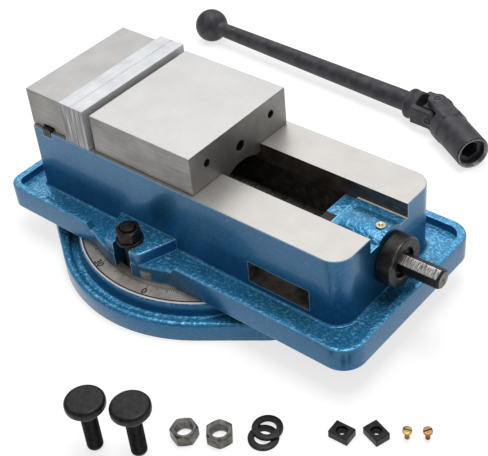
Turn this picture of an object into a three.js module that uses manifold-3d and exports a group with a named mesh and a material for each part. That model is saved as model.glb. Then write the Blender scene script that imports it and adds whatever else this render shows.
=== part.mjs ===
import * as THREE from 'three';
import { mergeVertices } from 'three/addons/utils/BufferGeometryUtils.js';
import Module from 'manifold-3d';

const wasm = await Module();
wasm.setup();

// Lock-down milling vise on a graduated swivel base, with its crank handle and its loose table fixings.
// Millimetres, +Z up. The origin is where the swivel axis meets the underside of the base.
// The fixed jaw is at -X, the screw comes out at +X, and the jaws are drawn closed.
// Pieces above the base are drawn about the middle of the clamp lugs, then set over the axis.

// Driving dimensions

const clearance = 0.3; // gap kept between pieces that touch
const runningGap = 0.6; // gap between pieces that slide or turn on each other
const overrun = 2; // how far a cutter runs past the face that it opens
const weld = 0.0005; // vertices nearer than this are one vertex

const facets = { wire: 3, tiny: 8, small: 10, medium: 20, arc: 8, large: 56 };

const base = {
  discHeight: 32.7, // top of the graduated disc above the table
  scaleWidth: 19.4, // the graduated ring that shows outside the skirt
  discBevel: 2.5,
  wallDraft: 2.5, // how far the disc wall leans out on its way down
  channelWidth: 9.1,
  channelDepth: 5.5,
  rimHeight: 23,
  rimWidth: 9,
  earStand: 8, // how far each ear passes the rim
  earHalfWidth: 101,
  earCorner: 41,
  boltSlotWidth: 18,
  boltSlotDepth: 17,
  floorThickness: 9, // metal left under the T-slot
  hubFloor: 12, // metal left under the centre pivot
  reliefDepth: 6,
  reliefInner: 30,
  reliefOuter: 88,
};

const tSlot = { neckWidth: 17, headWidth: 30, headHeight: 11, entryAngle: 45 };

const keyway = { width: 16.4, depth: 5, inner: 108, outer: 146, holeRadius: 2.1, holeDepth: 9 };

const pivot = { radius: 20, chamfer: 1.5, pullHoleRadius: 4, pullHoleDepth: 16 };

const clampStud = { radius: 8, headRadius: 14, headHeight: 10, standsAbovePad: 18.5, chamfer: 1.5 };
const clampNut = { acrossFlats: 24, height: 13 };
const clampWasher = { radius: 15, holeRadius: 8.6, thickness: 2.8 };

const travel = 152.4; // how far the jaws open

const ways = {
  fixedEnd: 165, // from the middle of the lugs to the body's end under the fixed jaw
  screwEndCorner: 21,
  fixedEndCorner: 4,
  railWidth: 48.55, // each way, from its side to the slot
  slotStart: 66, // from the back of the fixed jaw to the slot
  railThickness: 22, // the ledge that the nut bears up against
  railAboveScrew: 22,
  wallThickness: 32,
  floorThickness: 12,
};

const flange = {
  endOverhang: 31,
  sideOverhang: 32.1,
  floorThickness: 18.5,
  rimHeight: 9.2,
  rimWidth: 9.5,
  screwCorner: 25,
  fixedCorner: 19,
};

const lug = {
  axisOffset: 12, // how far the lugs stand from the swivel axis, towards the fixed jaw
  studFromWays: 27.8, // from the side of the ways to each clamp stud
  pastStud: 15,
  wallHalf: 40.5,
  frontHalf: 24.2,
  padHeight: 14,
  slotWidth: 24,
  rimGapHalf: 58,
};
const skirt = { pastStuds: 15.84 };
const indexPad = { width: 12, height: 11, stand: 0.6, angle: -76 };

const sideWindow = { beforeWall: 40, afterWall: 36, aboveChannel: 6.5, height: 26 };

const head = {
  // the cross wall at the screw end and the boss that carries the screw
  runOut: 5.6, // left between the nut and the wall with the jaws open
  length: 75,
  stepLength: 16,
  stepDrop: 21, // below the way tops
  ledgeDrop: 17,
  bossLength: 54,
  bossRadius: 34,
};

const screw = {
  threadRadius: 13.9,
  endGap: 5, // between the screw's inner end and the end of the slot
  threadShort: 2, // the thread stops this far before the cross wall
  shoulderSet: 1.5, // the shoulder starts this far inside the cross wall
  shoulderLength: 5.5,
  shoulderRadius: 18,
  journalRadius: 11.2,
  hexAcrossFlats: 19,
  hexLength: 46,
  hexSet: 3.3, // the hexagon starts this far inside the collar
  chamfer: 1.5,
};

const bearing = {
  raceThickness: 3,
  raceRadius: 19.4,
  ballRadius: 2.75,
  ballPitch: 15.4,
  ballCount: 8,
  cageThickness: 2.2,
  cageInner: 11.7,
  cageOuter: 19.1,
};

const bushing = { radius: 14.7 };
const collar = {
  radius: 27,
  aboveRim: 2.3, // between the collar and the top of the flange's rim
  length: 18,
  recessRadius: 16,
  recessDepth: 5,
  chamfer: 1.5,
  pinRadius: 3,
  pinLength: 11,
  pinSocket: 3,
};

const oiler = {
  fromEnd: 10, // distance in from the end face of the body
  stemRadius: 4,
  stemDepth: 7,
  flangeRadius: 5.2,
  flangeThickness: 1,
  cavityRadius: 2.4,
  lipRadius: 1.7,
  drainRadius: 1,
  ballRadius: 2,
  ballTravel: 0.8,
  springRadius: 1.6,
  wireRadius: 0.25,
  springTurns: 2,
  floorThickness: 0.8,
};

const jaw = {
  width: 152.4,
  height: 45.2,
  fixedOverhang: 1, // how far the fixed jaw passes the end of the body
  fixedLength: 56.7,
  movableLength: 139.4,
};

const jawPlate = { thickness: 17.3, sideStand: 4, topStand: 4.2 }; // stands are past the jaw
const seatPad = { depth: 6.1, side: 10, bottom: 12, top: 9 };

const plateScrew = {
  fromSide: 25.2, // from the jaw's side to each screw
  height: 26, // above the way tops
  radius: 5,
  headRadius: 8,
  headHeight: 10,
  length: 38,
  socket: 8,
  socketDepth: 5,
};
const jawBolt = {
  fromBack: 45, // from the back of the fixed jaw
  fromSide: 26.2,
  radius: 6,
  headRadius: 9,
  headHeight: 12,
  grip: 27, // head seat below the way tops
  reach: 21, // tip above the way tops
  socket: 10,
  socketDepth: 6,
};

const crossKey = {
  fromBack: 18.5, // from the back of the fixed jaw
  width: 13,
  slotWidth: 16.5,
  below: 7.5,
  above: 3.2,
  slotAbove: 5.5,
  stand: 0.6, // how far its ends stand out of the body
};

const tongue = { sideGap: 0.65, depth: 10, archRadius: 41 };
const pocket = { front: -23, rear: 24, halfWidth: 20, height: 32 }; // from the movable jaw's middle
const rearHole = { radius: 4.4, depth: 24 };

const nut = {
  front: -40, // lengths along the screw are from the movable jaw's middle
  rear: 20,
  halfWidth: 28,
  belowScrew: 28,
  footGap: 4.2, // between a foot and the side of the screw bay
  footHeight: 14,
  hornHalfWidth: 18,
  hornFront: -9,
  hornRear: 12,
  hornHeight: 24, // top of the horn above the way tops
  wedgeHeight: 14, // centre of the slanted face above the way tops
  wedgeX: -16,
  wedgeAngle: 30, // lean of the slanted face from upright
};

const halfBall = { radius: 12 };
const setScrew = { radius: 5.8, length: 30, height: 16, socket: 6, socketDepth: 7 };

// Crank handle, lying on the table behind the vise with its universal joint bent

const handle = {
  x: 99.9, // universal joint centre
  y: 317.3,
  ballRadius: 23,
  rodLength: 384, // ball centre to joint centre
  rodThin: 10.5,
  rodThick: 13.5,
  heading: -2.4, // degrees from +X
  bend: -28.8, // socket heading relative to the rod
};
const yoke = {
  gapHalf: 13.4, // half the gap between the tines
  tineThickness: 8.6,
  tineHalfWidth: 11.7,
  throat: 22.5, // joint centre to the root of the tines
  block: 40, // joint centre to the end of each yoke's block
  rodBlockRadius: 19.6,
  socketBlockRadius: 22.3,
  blockDraft: 2.5, // length over which a block falls to the rod or the barrel
  barrelRadius: 21,
  mouth: 94, // joint centre to the socket mouth
};
const crossBlock = { half: 12.8 };
const jointPin = { radius: 4.8, stand: 0.8 };
const socketBore = { acrossFlats: 19.8, depth: 34, mouthRadius: 16, mouthDepth: 10 };

// Loose fixings on the table: [x, y] places, and a heading in degrees where it matters

const looseBolt = {
  places: [[109.3, -294.3], [148.1, -274.5]],
  radius: 8,
  length: 56,
  headRadius: 19.6,
  headHeight: 10,
  tip: 3,
};
const looseNut = {
  places: [[171.4, -236.4], [200.1, -218.8]],
  headings: [12, 40],
  acrossFlats: 24,
  height: 13,
  boreRadius: 8.4,
};
const looseWasher = {
  places: [[233.3, -195.1], [230.7, -185.5]],
  radius: 15,
  holeRadius: 8.6,
  thickness: 2.8,
};
const looseKey = {
  places: [[291, -150], [317, -131.7]],
  headings: [3, -18],
  length: 21,
  width: 16,
  height: 9,
  holeRadius: 2.8,
  counterboreRadius: 5.2,
  counterboreDepth: 4,
};
const looseScrew = {
  places: [[341, -117], [356.6, -106.4]],
  headings: [20, 60],
  radius: 2.4,
  length: 9,
  headRadius: 4.6,
  headHeight: 3,
  slotWidth: 1.2,
  slotDepth: 1.4,
};

// Sizes that follow from the driving dimensions

const bodyBottom = base.discHeight + clearance;
const channelFloor = bodyBottom + flange.floorThickness;
const rimTop = channelFloor + flange.rimHeight;
const padTop = channelFloor + lug.padHeight;
const cavityFloor = bodyBottom + ways.floorThickness;
const screwHeight = rimTop + collar.aboveRim + collar.radius;
const railBottom = screwHeight + ways.railAboveScrew;
const waysTop = railBottom + ways.railThickness;
const jawBottom = waysTop + clearance;
const jawTop = jawBottom + jaw.height;
const plateTop = jawTop + jawPlate.topStand;
const plateScrewZ = waysTop + plateScrew.height;
const bossTop = screwHeight + head.bossRadius;

const waysHalf = jaw.width / 2 + jawPlate.sideStand;
const slotHalf = waysHalf - ways.railWidth;
const cavityHalf = waysHalf - ways.wallThickness;
const screwSpread = jaw.width / 2 - plateScrew.fromSide;
const boltSpread = jaw.width / 2 - jawBolt.fromSide;
const studReach = waysHalf + lug.studFromWays;
const padFront = studReach + lug.pastStud;
const slotRadius = Math.hypot(studReach, lug.axisOffset); // the studs run in the base's T-slot
const skirtRadius = slotRadius + skirt.pastStuds;
const discRadius = skirtRadius + base.scaleWidth;
const wallRadius = discRadius + base.discBevel + base.wallDraft;
const channelOuter = wallRadius + base.channelWidth;
const channelBottom = base.rimHeight - base.channelDepth;
const rimRadius = channelOuter + base.rimWidth;
const earReach = rimRadius + base.earStand;
const studFloor = base.floorThickness + tSlot.headHeight - clearance - clampStud.headHeight;

const fixedJawStart = -ways.fixedEnd - jaw.fixedOverhang;
const fixedJawEnd = fixedJawStart + jaw.fixedLength;
const fixedPlateStart = fixedJawEnd + clearance;
const fixedPlateEnd = fixedPlateStart + jawPlate.thickness;
const movablePlateStart = fixedPlateEnd + clearance;
const movablePlateEnd = movablePlateStart + jawPlate.thickness;
const seatFace = movablePlateEnd + clearance;
const movableJawStart = seatFace + seatPad.depth;
const movableJawEnd = movableJawStart + jaw.movableLength;
const jawMiddle = (movableJawStart + movableJawEnd) / 2;
const keyStart = fixedJawStart + crossKey.fromBack;
const jawBoltX = fixedJawStart + jawBolt.fromBack;
const slotStart = fixedJawStart + ways.slotStart;
const headWall = jawMiddle + nut.rear + travel + head.runOut;
const screwEnd = headWall + head.length; // the body's end at the crank
const shoulderStart = headWall + screw.shoulderSet;
const shoulderEnd = shoulderStart + screw.shoulderLength;
const rearRaceStart = shoulderEnd + clearance;
const ballX = rearRaceStart + bearing.raceThickness + clearance + bearing.ballRadius;
const frontRaceStart = ballX + bearing.ballRadius + clearance;
const counterboreEnd = frontRaceStart + bearing.raceThickness + clearance;
const collarStart = screwEnd + clearance;
const collarEnd = collarStart + collar.length;
const hexStart = collarEnd - screw.hexSet;
const oilerX = screwEnd - oiler.fromEnd;

const radians = THREE.MathUtils.degToRad;

// Geometry helpers: every one returns a closed BufferGeometry with positions only

function volume(positions, index) {
  let sum = 0;
  const corners = [new THREE.Vector3(), new THREE.Vector3(), new THREE.Vector3()];
  for (let i = 0; i < index.length; i += 3) {
    corners.forEach((corner, k) => corner.fromArray(positions, 3 * index[i + k]));
    sum += corners[0].dot(corners[1].cross(corners[2]));
  }
  return sum / 6;
}

function closed(geometry) {
  const bare = geometry.index ? geometry.toNonIndexed() : geometry.clone();
  for (const name of Object.keys(bare.attributes)) {
    if (name !== 'position') bare.deleteAttribute(name);
  }
  const merged = mergeVertices(bare, weld);
  const kept = [];
  const source = merged.index.array;
  for (let i = 0; i < source.length; i += 3) {
    const [a, b, c] = [source[i], source[i + 1], source[i + 2]];
    if (a !== b && b !== c && c !== a) kept.push(a, b, c);
  }
  if (volume(merged.attributes.position.array, kept) < 0) kept.reverse();
  merged.setIndex(kept);
  merged.clearGroups();
  return merged;
}

function toManifold(geometry) {
  const { position } = geometry.attributes;
  const vertProperties = new Float32Array(position.array);
  const triVerts = new Uint32Array(geometry.index.array);
  return new wasm.Manifold(new wasm.Mesh({ numProp: 3, vertProperties, triVerts }));
}

function fromManifold(manifold) {
  const mesh = manifold.getMesh();
  const geometry = new THREE.BufferGeometry();
  geometry.setAttribute('position', new THREE.BufferAttribute(new Float32Array(mesh.vertProperties), 3));
  geometry.setIndex([...mesh.triVerts]);
  return geometry;
}

function join(...geometries) {
  return fromManifold(geometries.map(toManifold).reduce((sum, next) => sum.add(next)));
}

function cut(geometry, ...tools) {
  const rest = tools.map(toManifold).reduce((left, tool) => left.subtract(tool), toManifold(geometry));
  return fromManifold(rest);
}

function block(x0, x1, y0, y1, z0, z1) {
  const box = new THREE.BoxGeometry(x1 - x0, y1 - y0, z1 - z0);
  box.translate((x0 + x1) / 2, (y0 + y1) / 2, (z0 + z1) / 2);
  return closed(box);
}

function along(axis, geometry) {
  if (axis === 'x') geometry.rotateZ(-Math.PI / 2);
  if (axis === 'z') geometry.rotateX(Math.PI / 2);
  return geometry;
}

function bar(axis, radius, from, to, place = {}, sides = facets.medium) {
  const { x = 0, y = 0, z = 0 } = place;
  const cylinder = new THREE.CylinderGeometry(radius, radius, to - from, sides);
  cylinder.translate(0, (from + to) / 2, 0);
  along(axis, cylinder).translate(x, y, z);
  return closed(cylinder);
}

function hexBar(axis, acrossFlats, from, to, place = {}) {
  return bar(axis, acrossFlats / Math.sqrt(3), from, to, place, 6);
}

// A profile of [radius, height] points turned about the axis
function turned(axis, profile, place = {}, sides = facets.medium) {
  const { x = 0, y = 0, z = 0 } = place;
  const points = profile.map(([radius, height]) => new THREE.Vector2(radius, height));
  const lathe = new THREE.LatheGeometry(points, sides);
  if (axis === 'x') lathe.rotateZ(-Math.PI / 2);
  if (axis === 'z') lathe.rotateX(Math.PI / 2);
  lathe.translate(x, y, z);
  return closed(lathe);
}

function ringProfile(inner, outer, from, to) {
  return [[inner, from], [outer, from], [outer, to], [inner, to], [inner, from]];
}

function pinProfile(radius, from, to, chamfer) {
  const neck = radius - chamfer;
  return [[0, from], [neck, from], [radius, from + chamfer], [radius, to - chamfer], [neck, to], [0, to]];
}

function plate(outline, from, to, curveSegments = facets.arc) {
  const sheet = new THREE.ExtrudeGeometry(outline, { depth: to - from, bevelEnabled: false, curveSegments });
  sheet.translate(0, 0, from);
  return closed(sheet);
}

function polygon(points) {
  return new THREE.Shape(points.map(([x, y]) => new THREE.Vector2(x, y)));
}

// A rectangle with one corner radius at its -X end and another at its +X end
function roundedOutline(x0, x1, halfWidth, radius0, radius1) {
  const outline = new THREE.Shape();
  outline.absarc(x1 - radius1, halfWidth - radius1, radius1, 0, Math.PI / 2);
  outline.absarc(x0 + radius0, halfWidth - radius0, radius0, Math.PI / 2, Math.PI);
  outline.absarc(x0 + radius0, radius0 - halfWidth, radius0, Math.PI, 1.5 * Math.PI);
  outline.absarc(x1 - radius1, radius1 - halfWidth, radius1, 1.5 * Math.PI, 2 * Math.PI);
  return outline;
}

// A socket-head screw along +axis: the head's seat is at `seat`, the shank runs on from it
function capScrew(axis, size, seat, tip, place, direction = 1) {
  const headEnd = seat - direction * size.headHeight;
  const order = (a, b) => (a < b ? [a, b] : [b, a]);
  const shank = bar(axis, size.radius, ...order(seat - direction * overrun, tip), place, facets.small);
  const cap = bar(axis, size.headRadius, ...order(headEnd, seat), place, facets.small);
  const socketFloor = headEnd + direction * size.socketDepth;
  const socket = hexBar(axis, size.socket, ...order(headEnd - direction * overrun, socketFloor), place);
  return cut(join(shank, cap), socket);
}

// Swivel base

function baseOutline() {
  const cornerX = earReach - base.earCorner;
  const cornerY = base.earHalfWidth - base.earCorner;
  const towards = Math.atan2(cornerY, cornerX);
  const spread = Math.acos((rimRadius - base.earCorner) / Math.hypot(cornerX, cornerY));
  const tangent = towards + spread;
  const outline = new THREE.Shape();
  outline.absarc(cornerX, cornerY, base.earCorner, 0, tangent);
  outline.absarc(0, 0, rimRadius, tangent, Math.PI - tangent);
  outline.absarc(-cornerX, cornerY, base.earCorner, Math.PI - tangent, Math.PI);
  outline.absarc(-cornerX, -cornerY, base.earCorner, Math.PI, Math.PI + tangent);
  outline.absarc(0, 0, rimRadius, Math.PI + tangent, 2 * Math.PI - tangent);
  outline.absarc(cornerX, -cornerY, base.earCorner, 2 * Math.PI - tangent, 2 * Math.PI);
  return outline;
}

function baseDisc() {
  const bevelStart = base.discHeight - base.discBevel;
  const edge = discRadius + base.discBevel;
  return turned('z', [
    [0, base.hubFloor],
    [wallRadius, base.hubFloor],
    [wallRadius, channelBottom],
    [edge, bevelStart],
    [discRadius, base.discHeight],
    [0, base.discHeight],
  ], {}, facets.large);
}

function tSlotCutter() {
  const neck = tSlot.neckWidth / 2;
  const wide = tSlot.headWidth / 2;
  const floor = base.floorThickness;
  const shoulder = floor + tSlot.headHeight;
  const top = base.discHeight + overrun;
  const at = slotRadius;
  return turned('z', [
    [at - wide, floor],
    [at + wide, floor],
    [at + wide, shoulder],
    [at + neck, shoulder],
    [at + neck, top],
    [at - neck, top],
    [at - neck, shoulder],
    [at - wide, shoulder],
    [at - wide, floor],
  ], {}, facets.large);
}

function tSlotEntry() {
  const angle = radians(tSlot.entryAngle);
  const place = { x: slotRadius * Math.cos(angle), y: slotRadius * Math.sin(angle) };
  return bar('z', clampStud.headRadius + clearance, -overrun, base.floorThickness + overrun, place);
}

function earSlot(side) {
  const half = base.boltSlotWidth / 2;
  const root = earReach - base.boltSlotDepth + half;
  const outside = earReach + overrun;
  const [x0, x1] = side > 0 ? [root, outside] : [-outside, -root];
  return join(
    block(x0, x1, -half, half, -overrun, base.rimHeight + overrun),
    bar('z', half, -overrun, base.rimHeight + overrun, { x: side * root }, facets.small),
  );
}

function keywayCutter(side) {
  const [x0, x1] = side > 0 ? [keyway.inner, keyway.outer] : [-keyway.outer, -keyway.inner];
  return join(
    block(x0, x1, -keyway.width / 2, keyway.width / 2, -overrun, keyway.depth),
    bar('z', keyway.holeRadius, 0, keyway.holeDepth, { x: (x0 + x1) / 2 }, facets.tiny),
  );
}

function swivelBase() {
  const relief = ringProfile(base.reliefInner, base.reliefOuter, -overrun, base.reliefDepth);
  const pivotBore = bar('z', pivot.radius + clearance, base.hubFloor, base.discHeight + overrun);
  const well = bar('z', channelOuter, channelBottom, base.rimHeight + overrun, {}, facets.large);
  const plinth = cut(plate(baseOutline(), 0, base.rimHeight), well);
  return cut(
    join(plinth, baseDisc()),
    tSlotCutter(),
    tSlotEntry(),
    pivotBore,
    turned('z', relief, {}, facets.medium),
    earSlot(1),
    earSlot(-1),
    keywayCutter(1),
    keywayCutter(-1),
  );
}

function centrePivot() {
  const bottom = base.hubFloor + clearance;
  const pullHole = bar('z', pivot.pullHoleRadius, cavityFloor - pivot.pullHoleDepth, cavityFloor + overrun);
  return cut(turned('z', pinProfile(pivot.radius, bottom, cavityFloor, pivot.chamfer)), pullHole);
}

// Vise body

function flangeSolid() {
  const halfWidth = waysHalf + flange.sideOverhang;
  const x0 = -ways.fixedEnd - flange.endOverhang;
  const x1 = screwEnd + flange.endOverhang;
  const inset = flange.rimWidth;
  const outline = roundedOutline(x0, x1, halfWidth, flange.fixedCorner, flange.screwCorner);
  const inner = roundedOutline(
    x0 + inset, x1 - inset, halfWidth - inset, flange.fixedCorner - inset, flange.screwCorner - inset);
  const trough = plate(inner, channelFloor, rimTop + overrun);
  const outside = halfWidth + overrun;
  const rimGap = block(-lug.rimGapHalf, lug.rimGapHalf, -outside, outside, channelFloor, rimTop + overrun);
  return cut(plate(outline, bodyBottom, rimTop), trough, rimGap);
}

function lugSolid() {
  const wall = waysHalf;
  const outline = polygon([
    [lug.frontHalf, -padFront],
    [lug.wallHalf, -wall],
    [lug.wallHalf, wall],
    [lug.frontHalf, padFront],
    [-lug.frontHalf, padFront],
    [-lug.wallHalf, wall],
    [-lug.wallHalf, -wall],
    [-lug.frontHalf, -padFront],
  ]);
  return plate(outline, bodyBottom, padTop);
}

function indexPadSolid() {
  const angle = radians(indexPad.angle);
  const half = indexPad.width / 2;
  const pad = block(0, skirtRadius + indexPad.stand, -half, half, bodyBottom, bodyBottom + indexPad.height);
  return pad.rotateZ(angle);
}

function studSlot(side) {
  const half = lug.slotWidth / 2;
  const [bottom, top] = [bodyBottom - overrun, padTop + overrun];
  const outside = padFront + overrun;
  const [y0, y1] = side > 0 ? [studReach, outside] : [-outside, -studReach];
  return join(
    block(-half, half, y0, y1, bottom, top),
    bar('z', half, bottom, top, { y: side * studReach }),
  );
}

function windowCutter(side) {
  const { beforeWall, afterWall, aboveChannel, height } = sideWindow;
  const outer = waysHalf + overrun;
  const [y0, y1] = side > 0 ? [cavityHalf, outer] : [-outer, -cavityHalf];
  const bottom = channelFloor + aboveChannel;
  return block(headWall - beforeWall, headWall + afterWall, y0, y1, bottom, bottom + height);
}

function slotCutters() {
  const above = waysTop + overrun;
  const stepEnd = headWall + head.stepLength;
  return [
    block(slotStart, headWall, -slotHalf, slotHalf, railBottom - overrun, above),
    block(slotStart, headWall, -cavityHalf, cavityHalf, cavityFloor, railBottom),
    block(headWall - overrun, stepEnd, -slotHalf, slotHalf, waysTop - head.stepDrop, above),
    block(stepEnd - overrun, screwEnd + overrun, -slotHalf, slotHalf, waysTop - head.ledgeDrop, above),
  ];
}

function jawBoltHoles() {
  const seat = waysTop - jawBolt.grip;
  return [-1, 1].map((side) => {
    const place = { x: jawBoltX, y: side * boltSpread };
    return join(
      bar('z', jawBolt.radius + runningGap, bodyBottom - overrun, waysTop + overrun, place, facets.small),
      bar('z', jawBolt.headRadius + runningGap, bodyBottom - overrun, seat, place, facets.medium),
    );
  });
}

function keySlot() {
  const half = waysHalf + overrun;
  const bottom = waysTop - crossKey.below - clearance;
  const x1 = keyStart + crossKey.width + clearance;
  return block(keyStart - clearance, x1, -half, half, bottom, waysTop + overrun);
}

function screwBores() {
  const place = { z: screwHeight };
  return [
    bar('x', bushing.radius + clearance, headWall, screwEnd + overrun, place),
    bar('x', bearing.raceRadius + clearance, headWall - overrun, counterboreEnd, place),
  ];
}

function oilerBore() {
  const place = { x: oilerX };
  const stemBottom = bossTop - oiler.stemDepth;
  return join(
    bar('z', oiler.stemRadius + clearance, stemBottom - clearance, bossTop + overrun, place, facets.small),
    bar('z', oiler.drainRadius, screwHeight, stemBottom, place, facets.tiny),
  );
}

function viseBody() {
  const waysOutline = roundedOutline(
    -ways.fixedEnd, screwEnd, waysHalf, ways.fixedEndCorner, ways.screwEndCorner);
  const solid = join(
    flangeSolid(),
    bar('z', skirtRadius, bodyBottom, channelFloor, {}, facets.large),
    indexPadSolid(),
    lugSolid(),
    plate(waysOutline, bodyBottom, waysTop),
  );
  const hollow = cut(solid, ...slotCutters());
  const boss = bar('x', head.bossRadius, screwEnd - head.bossLength, screwEnd, { z: screwHeight });
  return cut(
    join(hollow, boss),
    ...screwBores(),
    ...jawBoltHoles(),
    ...[-1, 1].flatMap((side) => [studSlot(side), windowCutter(side)]),
    keySlot(),
    oilerBore(),
    bar('z', pivot.radius + clearance, bodyBottom - overrun, cavityFloor + overrun, { x: lug.axisOffset }),
  );
}

// Jaws

function fixedJaw() {
  const half = jaw.width / 2;
  const slotHalf = half + overrun;
  const keyTop = waysTop + crossKey.slotAbove;
  const slotEnd = keyStart - clearance + crossKey.slotWidth;
  const boltTop = waysTop + jawBolt.reach + overrun;
  const screwDepth = fixedJawEnd + jawPlate.thickness - plateScrew.length;
  return cut(
    block(fixedJawStart, fixedJawEnd, -half, half, jawBottom, jawTop),
    block(keyStart - clearance, slotEnd, -slotHalf, slotHalf, jawBottom - overrun, keyTop),
    ...[-1, 1].flatMap((side) => [
      bar('z', jawBolt.radius + clearance, jawBottom - overrun, boltTop,
        { x: jawBoltX, y: side * boltSpread }, facets.small),
      bar('x', plateScrew.radius + clearance, screwDepth, fixedJawEnd + overrun,
        { y: side * screwSpread, z: plateScrewZ }, facets.small),
    ]),
  );
}

function crossKeySolid() {
  const half = waysHalf + crossKey.stand;
  const [bottom, top] = [waysTop - crossKey.below, waysTop + crossKey.above];
  return block(keyStart, keyStart + crossKey.width, -half, half, bottom, top);
}

function jawBoltSolid(side) {
  const seat = waysTop - jawBolt.grip - clearance;
  const place = { x: jawBoltX, y: side * boltSpread };
  return capScrew('z', jawBolt, seat, waysTop + jawBolt.reach, place);
}

// `face` is the working face, with the screw heads sunk into it, and `back` bears on the jaw
function jawPlateSolid(face, back) {
  const direction = Math.sign(back - face);
  const seat = face + direction * (plateScrew.headHeight + runningGap);
  const order = (a, b) => (a < b ? [a, b] : [b, a]);
  return cut(
    block(...order(face, back), -waysHalf, waysHalf, jawBottom, plateTop),
    ...[-1, 1].map((side) => {
      const place = { y: side * screwSpread, z: plateScrewZ };
      const [headHole, hole] = [plateScrew.headRadius + runningGap, plateScrew.radius + runningGap];
      return join(
        bar('x', headHole, ...order(face - direction * overrun, seat), place),
        bar('x', hole, ...order(face, back + direction * overrun), place, facets.small),
      );
    }),
  );
}

function plateScrewSolid(face, direction, side) {
  const seat = face + direction * (plateScrew.headHeight + clearance);
  const tip = face + direction * (plateScrew.length - clearance);
  return capScrew('x', plateScrew, seat, tip, { y: side * screwSpread, z: plateScrewZ }, direction);
}

function wedgeCentre() {
  return { x: jawMiddle + nut.wedgeX, z: waysTop + nut.wedgeHeight };
}

function halfBallPlace() {
  const lean = radians(nut.wedgeAngle);
  const { x, z } = wedgeCentre();
  return { x: x - clearance * Math.cos(lean), z: z - clearance * Math.sin(lean) };
}

function movableJaw() {
  const half = jaw.width / 2;
  const tongueHalf = slotHalf - tongue.sideGap;
  const tongueBottom = waysTop - tongue.depth;
  const [pocketBottom, pocketTop] = [tongueBottom - overrun, waysTop + pocket.height];
  const pocketRear = jawMiddle + pocket.rear;
  const solid = join(
    block(movableJawStart, movableJawEnd, -half, half, jawBottom, jawTop),
    block(seatFace, movableJawStart + overrun,
      seatPad.side - half, half - seatPad.side, jawBottom + seatPad.bottom, jawTop - seatPad.top),
    block(movableJawStart, movableJawEnd, -tongueHalf, tongueHalf, tongueBottom, jawBottom + overrun),
  );
  const { x, z } = halfBallPlace();
  const ballSeat = new THREE.SphereGeometry(halfBall.radius + clearance, facets.medium, facets.small);
  const screwDepth = movablePlateStart + plateScrew.length;
  const setHeight = waysTop + setScrew.height;
  const setHole = setScrew.radius + clearance;
  const [front, rear] = [movableJawStart - overrun, movableJawEnd + overrun];
  return cut(
    solid,
    bar('x', tongue.archRadius, front, rear, { z: screwHeight }, facets.large),
    block(jawMiddle + pocket.front, pocketRear, -pocket.halfWidth, pocket.halfWidth, pocketBottom, pocketTop),
    closed(ballSeat.translate(x, 0, z)),
    bar('x', setHole, pocketRear - overrun, rear, { z: setHeight }),
    ...[-1, 1].flatMap((side) => {
      const place = { y: side * screwSpread, z: plateScrewZ };
      return [
        bar('x', plateScrew.radius + clearance, seatFace - overrun, screwDepth, place, facets.small),
        bar('x', rearHole.radius, movableJawEnd - rearHole.depth, rear, place),
      ];
    }),
  );
}

function halfBallSolid() {
  const steps = facets.tiny;
  const dome = Array.from({ length: steps + 1 }, (_, i) => {
    const angle = (i / steps) * (Math.PI / 2);
    return [halfBall.radius * Math.sin(angle), halfBall.radius * Math.cos(angle)];
  });
  const ball = turned('z', [...dome, [0, 0]]);
  const { x, z } = halfBallPlace();
  ball.rotateY(-Math.PI / 2 - radians(nut.wedgeAngle));
  return ball.translate(x, 0, z);
}

function jawNut() {
  const lean = Math.tan(radians(nut.wedgeAngle));
  const footTop = railBottom - clearance;
  const hornTop = waysTop + nut.hornHeight;
  const { x, z } = wedgeCentre();
  const [front, rear] = [jawMiddle + nut.front, jawMiddle + nut.rear];
  const footHalf = cavityHalf - nut.footGap;
  const [hornFront, hornRear] = [jawMiddle + nut.hornFront, jawMiddle + nut.hornRear];
  const faceX = (height) => x - (height - z) * lean;
  const heel = z - (hornFront - x) / lean;
  const horn = polygon([
    [hornFront, -footTop + overrun],
    [hornRear, -footTop + overrun],
    [hornRear, -hornTop],
    [faceX(hornTop), -hornTop],
    [hornFront, -heel],
  ]);
  const hornSolid = plate(horn, -nut.hornHalfWidth, nut.hornHalfWidth).rotateX(-Math.PI / 2);
  return cut(
    join(
      block(front, rear, -nut.halfWidth, nut.halfWidth, screwHeight - nut.belowScrew, footTop),
      block(front, rear, -footHalf, footHalf, footTop - nut.footHeight, footTop),
      hornSolid,
    ),
    bar('x', screw.threadRadius + clearance, front - overrun, rear + overrun, { z: screwHeight }),
  );
}

function jawSetScrew() {
  const start = jawMiddle + nut.hornRear + clearance;
  const end = start + setScrew.length;
  const place = { z: waysTop + setScrew.height };
  return cut(
    bar('x', setScrew.radius, start, end, place, facets.small),
    hexBar('x', setScrew.socket, end - setScrew.socketDepth, end + overrun, place),
  );
}

// Screw and its bearing

function leadScrew() {
  const { threadRadius: thread, journalRadius: journal, shoulderRadius: shoulder, chamfer } = screw;
  const start = slotStart + screw.endGap;
  const threadEnd = headWall - screw.threadShort;
  const shaft = turned('x', [
    [0, start],
    [thread - chamfer, start],
    [thread, start + chamfer],
    [thread, threadEnd],
    [journal, threadEnd + chamfer],
    [journal, shoulderStart],
    [shoulder, shoulderStart],
    [shoulder, shoulderEnd],
    [journal, shoulderEnd],
    [journal, hexStart],
    [0, hexStart],
  ], { z: screwHeight });
  const end = hexStart + screw.hexLength;
  const hex = hexBar('x', screw.hexAcrossFlats, hexStart - overrun, end, { z: screwHeight });
  return join(shaft, hex);
}

function thrustRace(start) {
  const inner = screw.journalRadius + clearance;
  const profile = ringProfile(inner, bearing.raceRadius, start, start + bearing.raceThickness);
  return turned('x', profile, { z: screwHeight });
}

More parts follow.
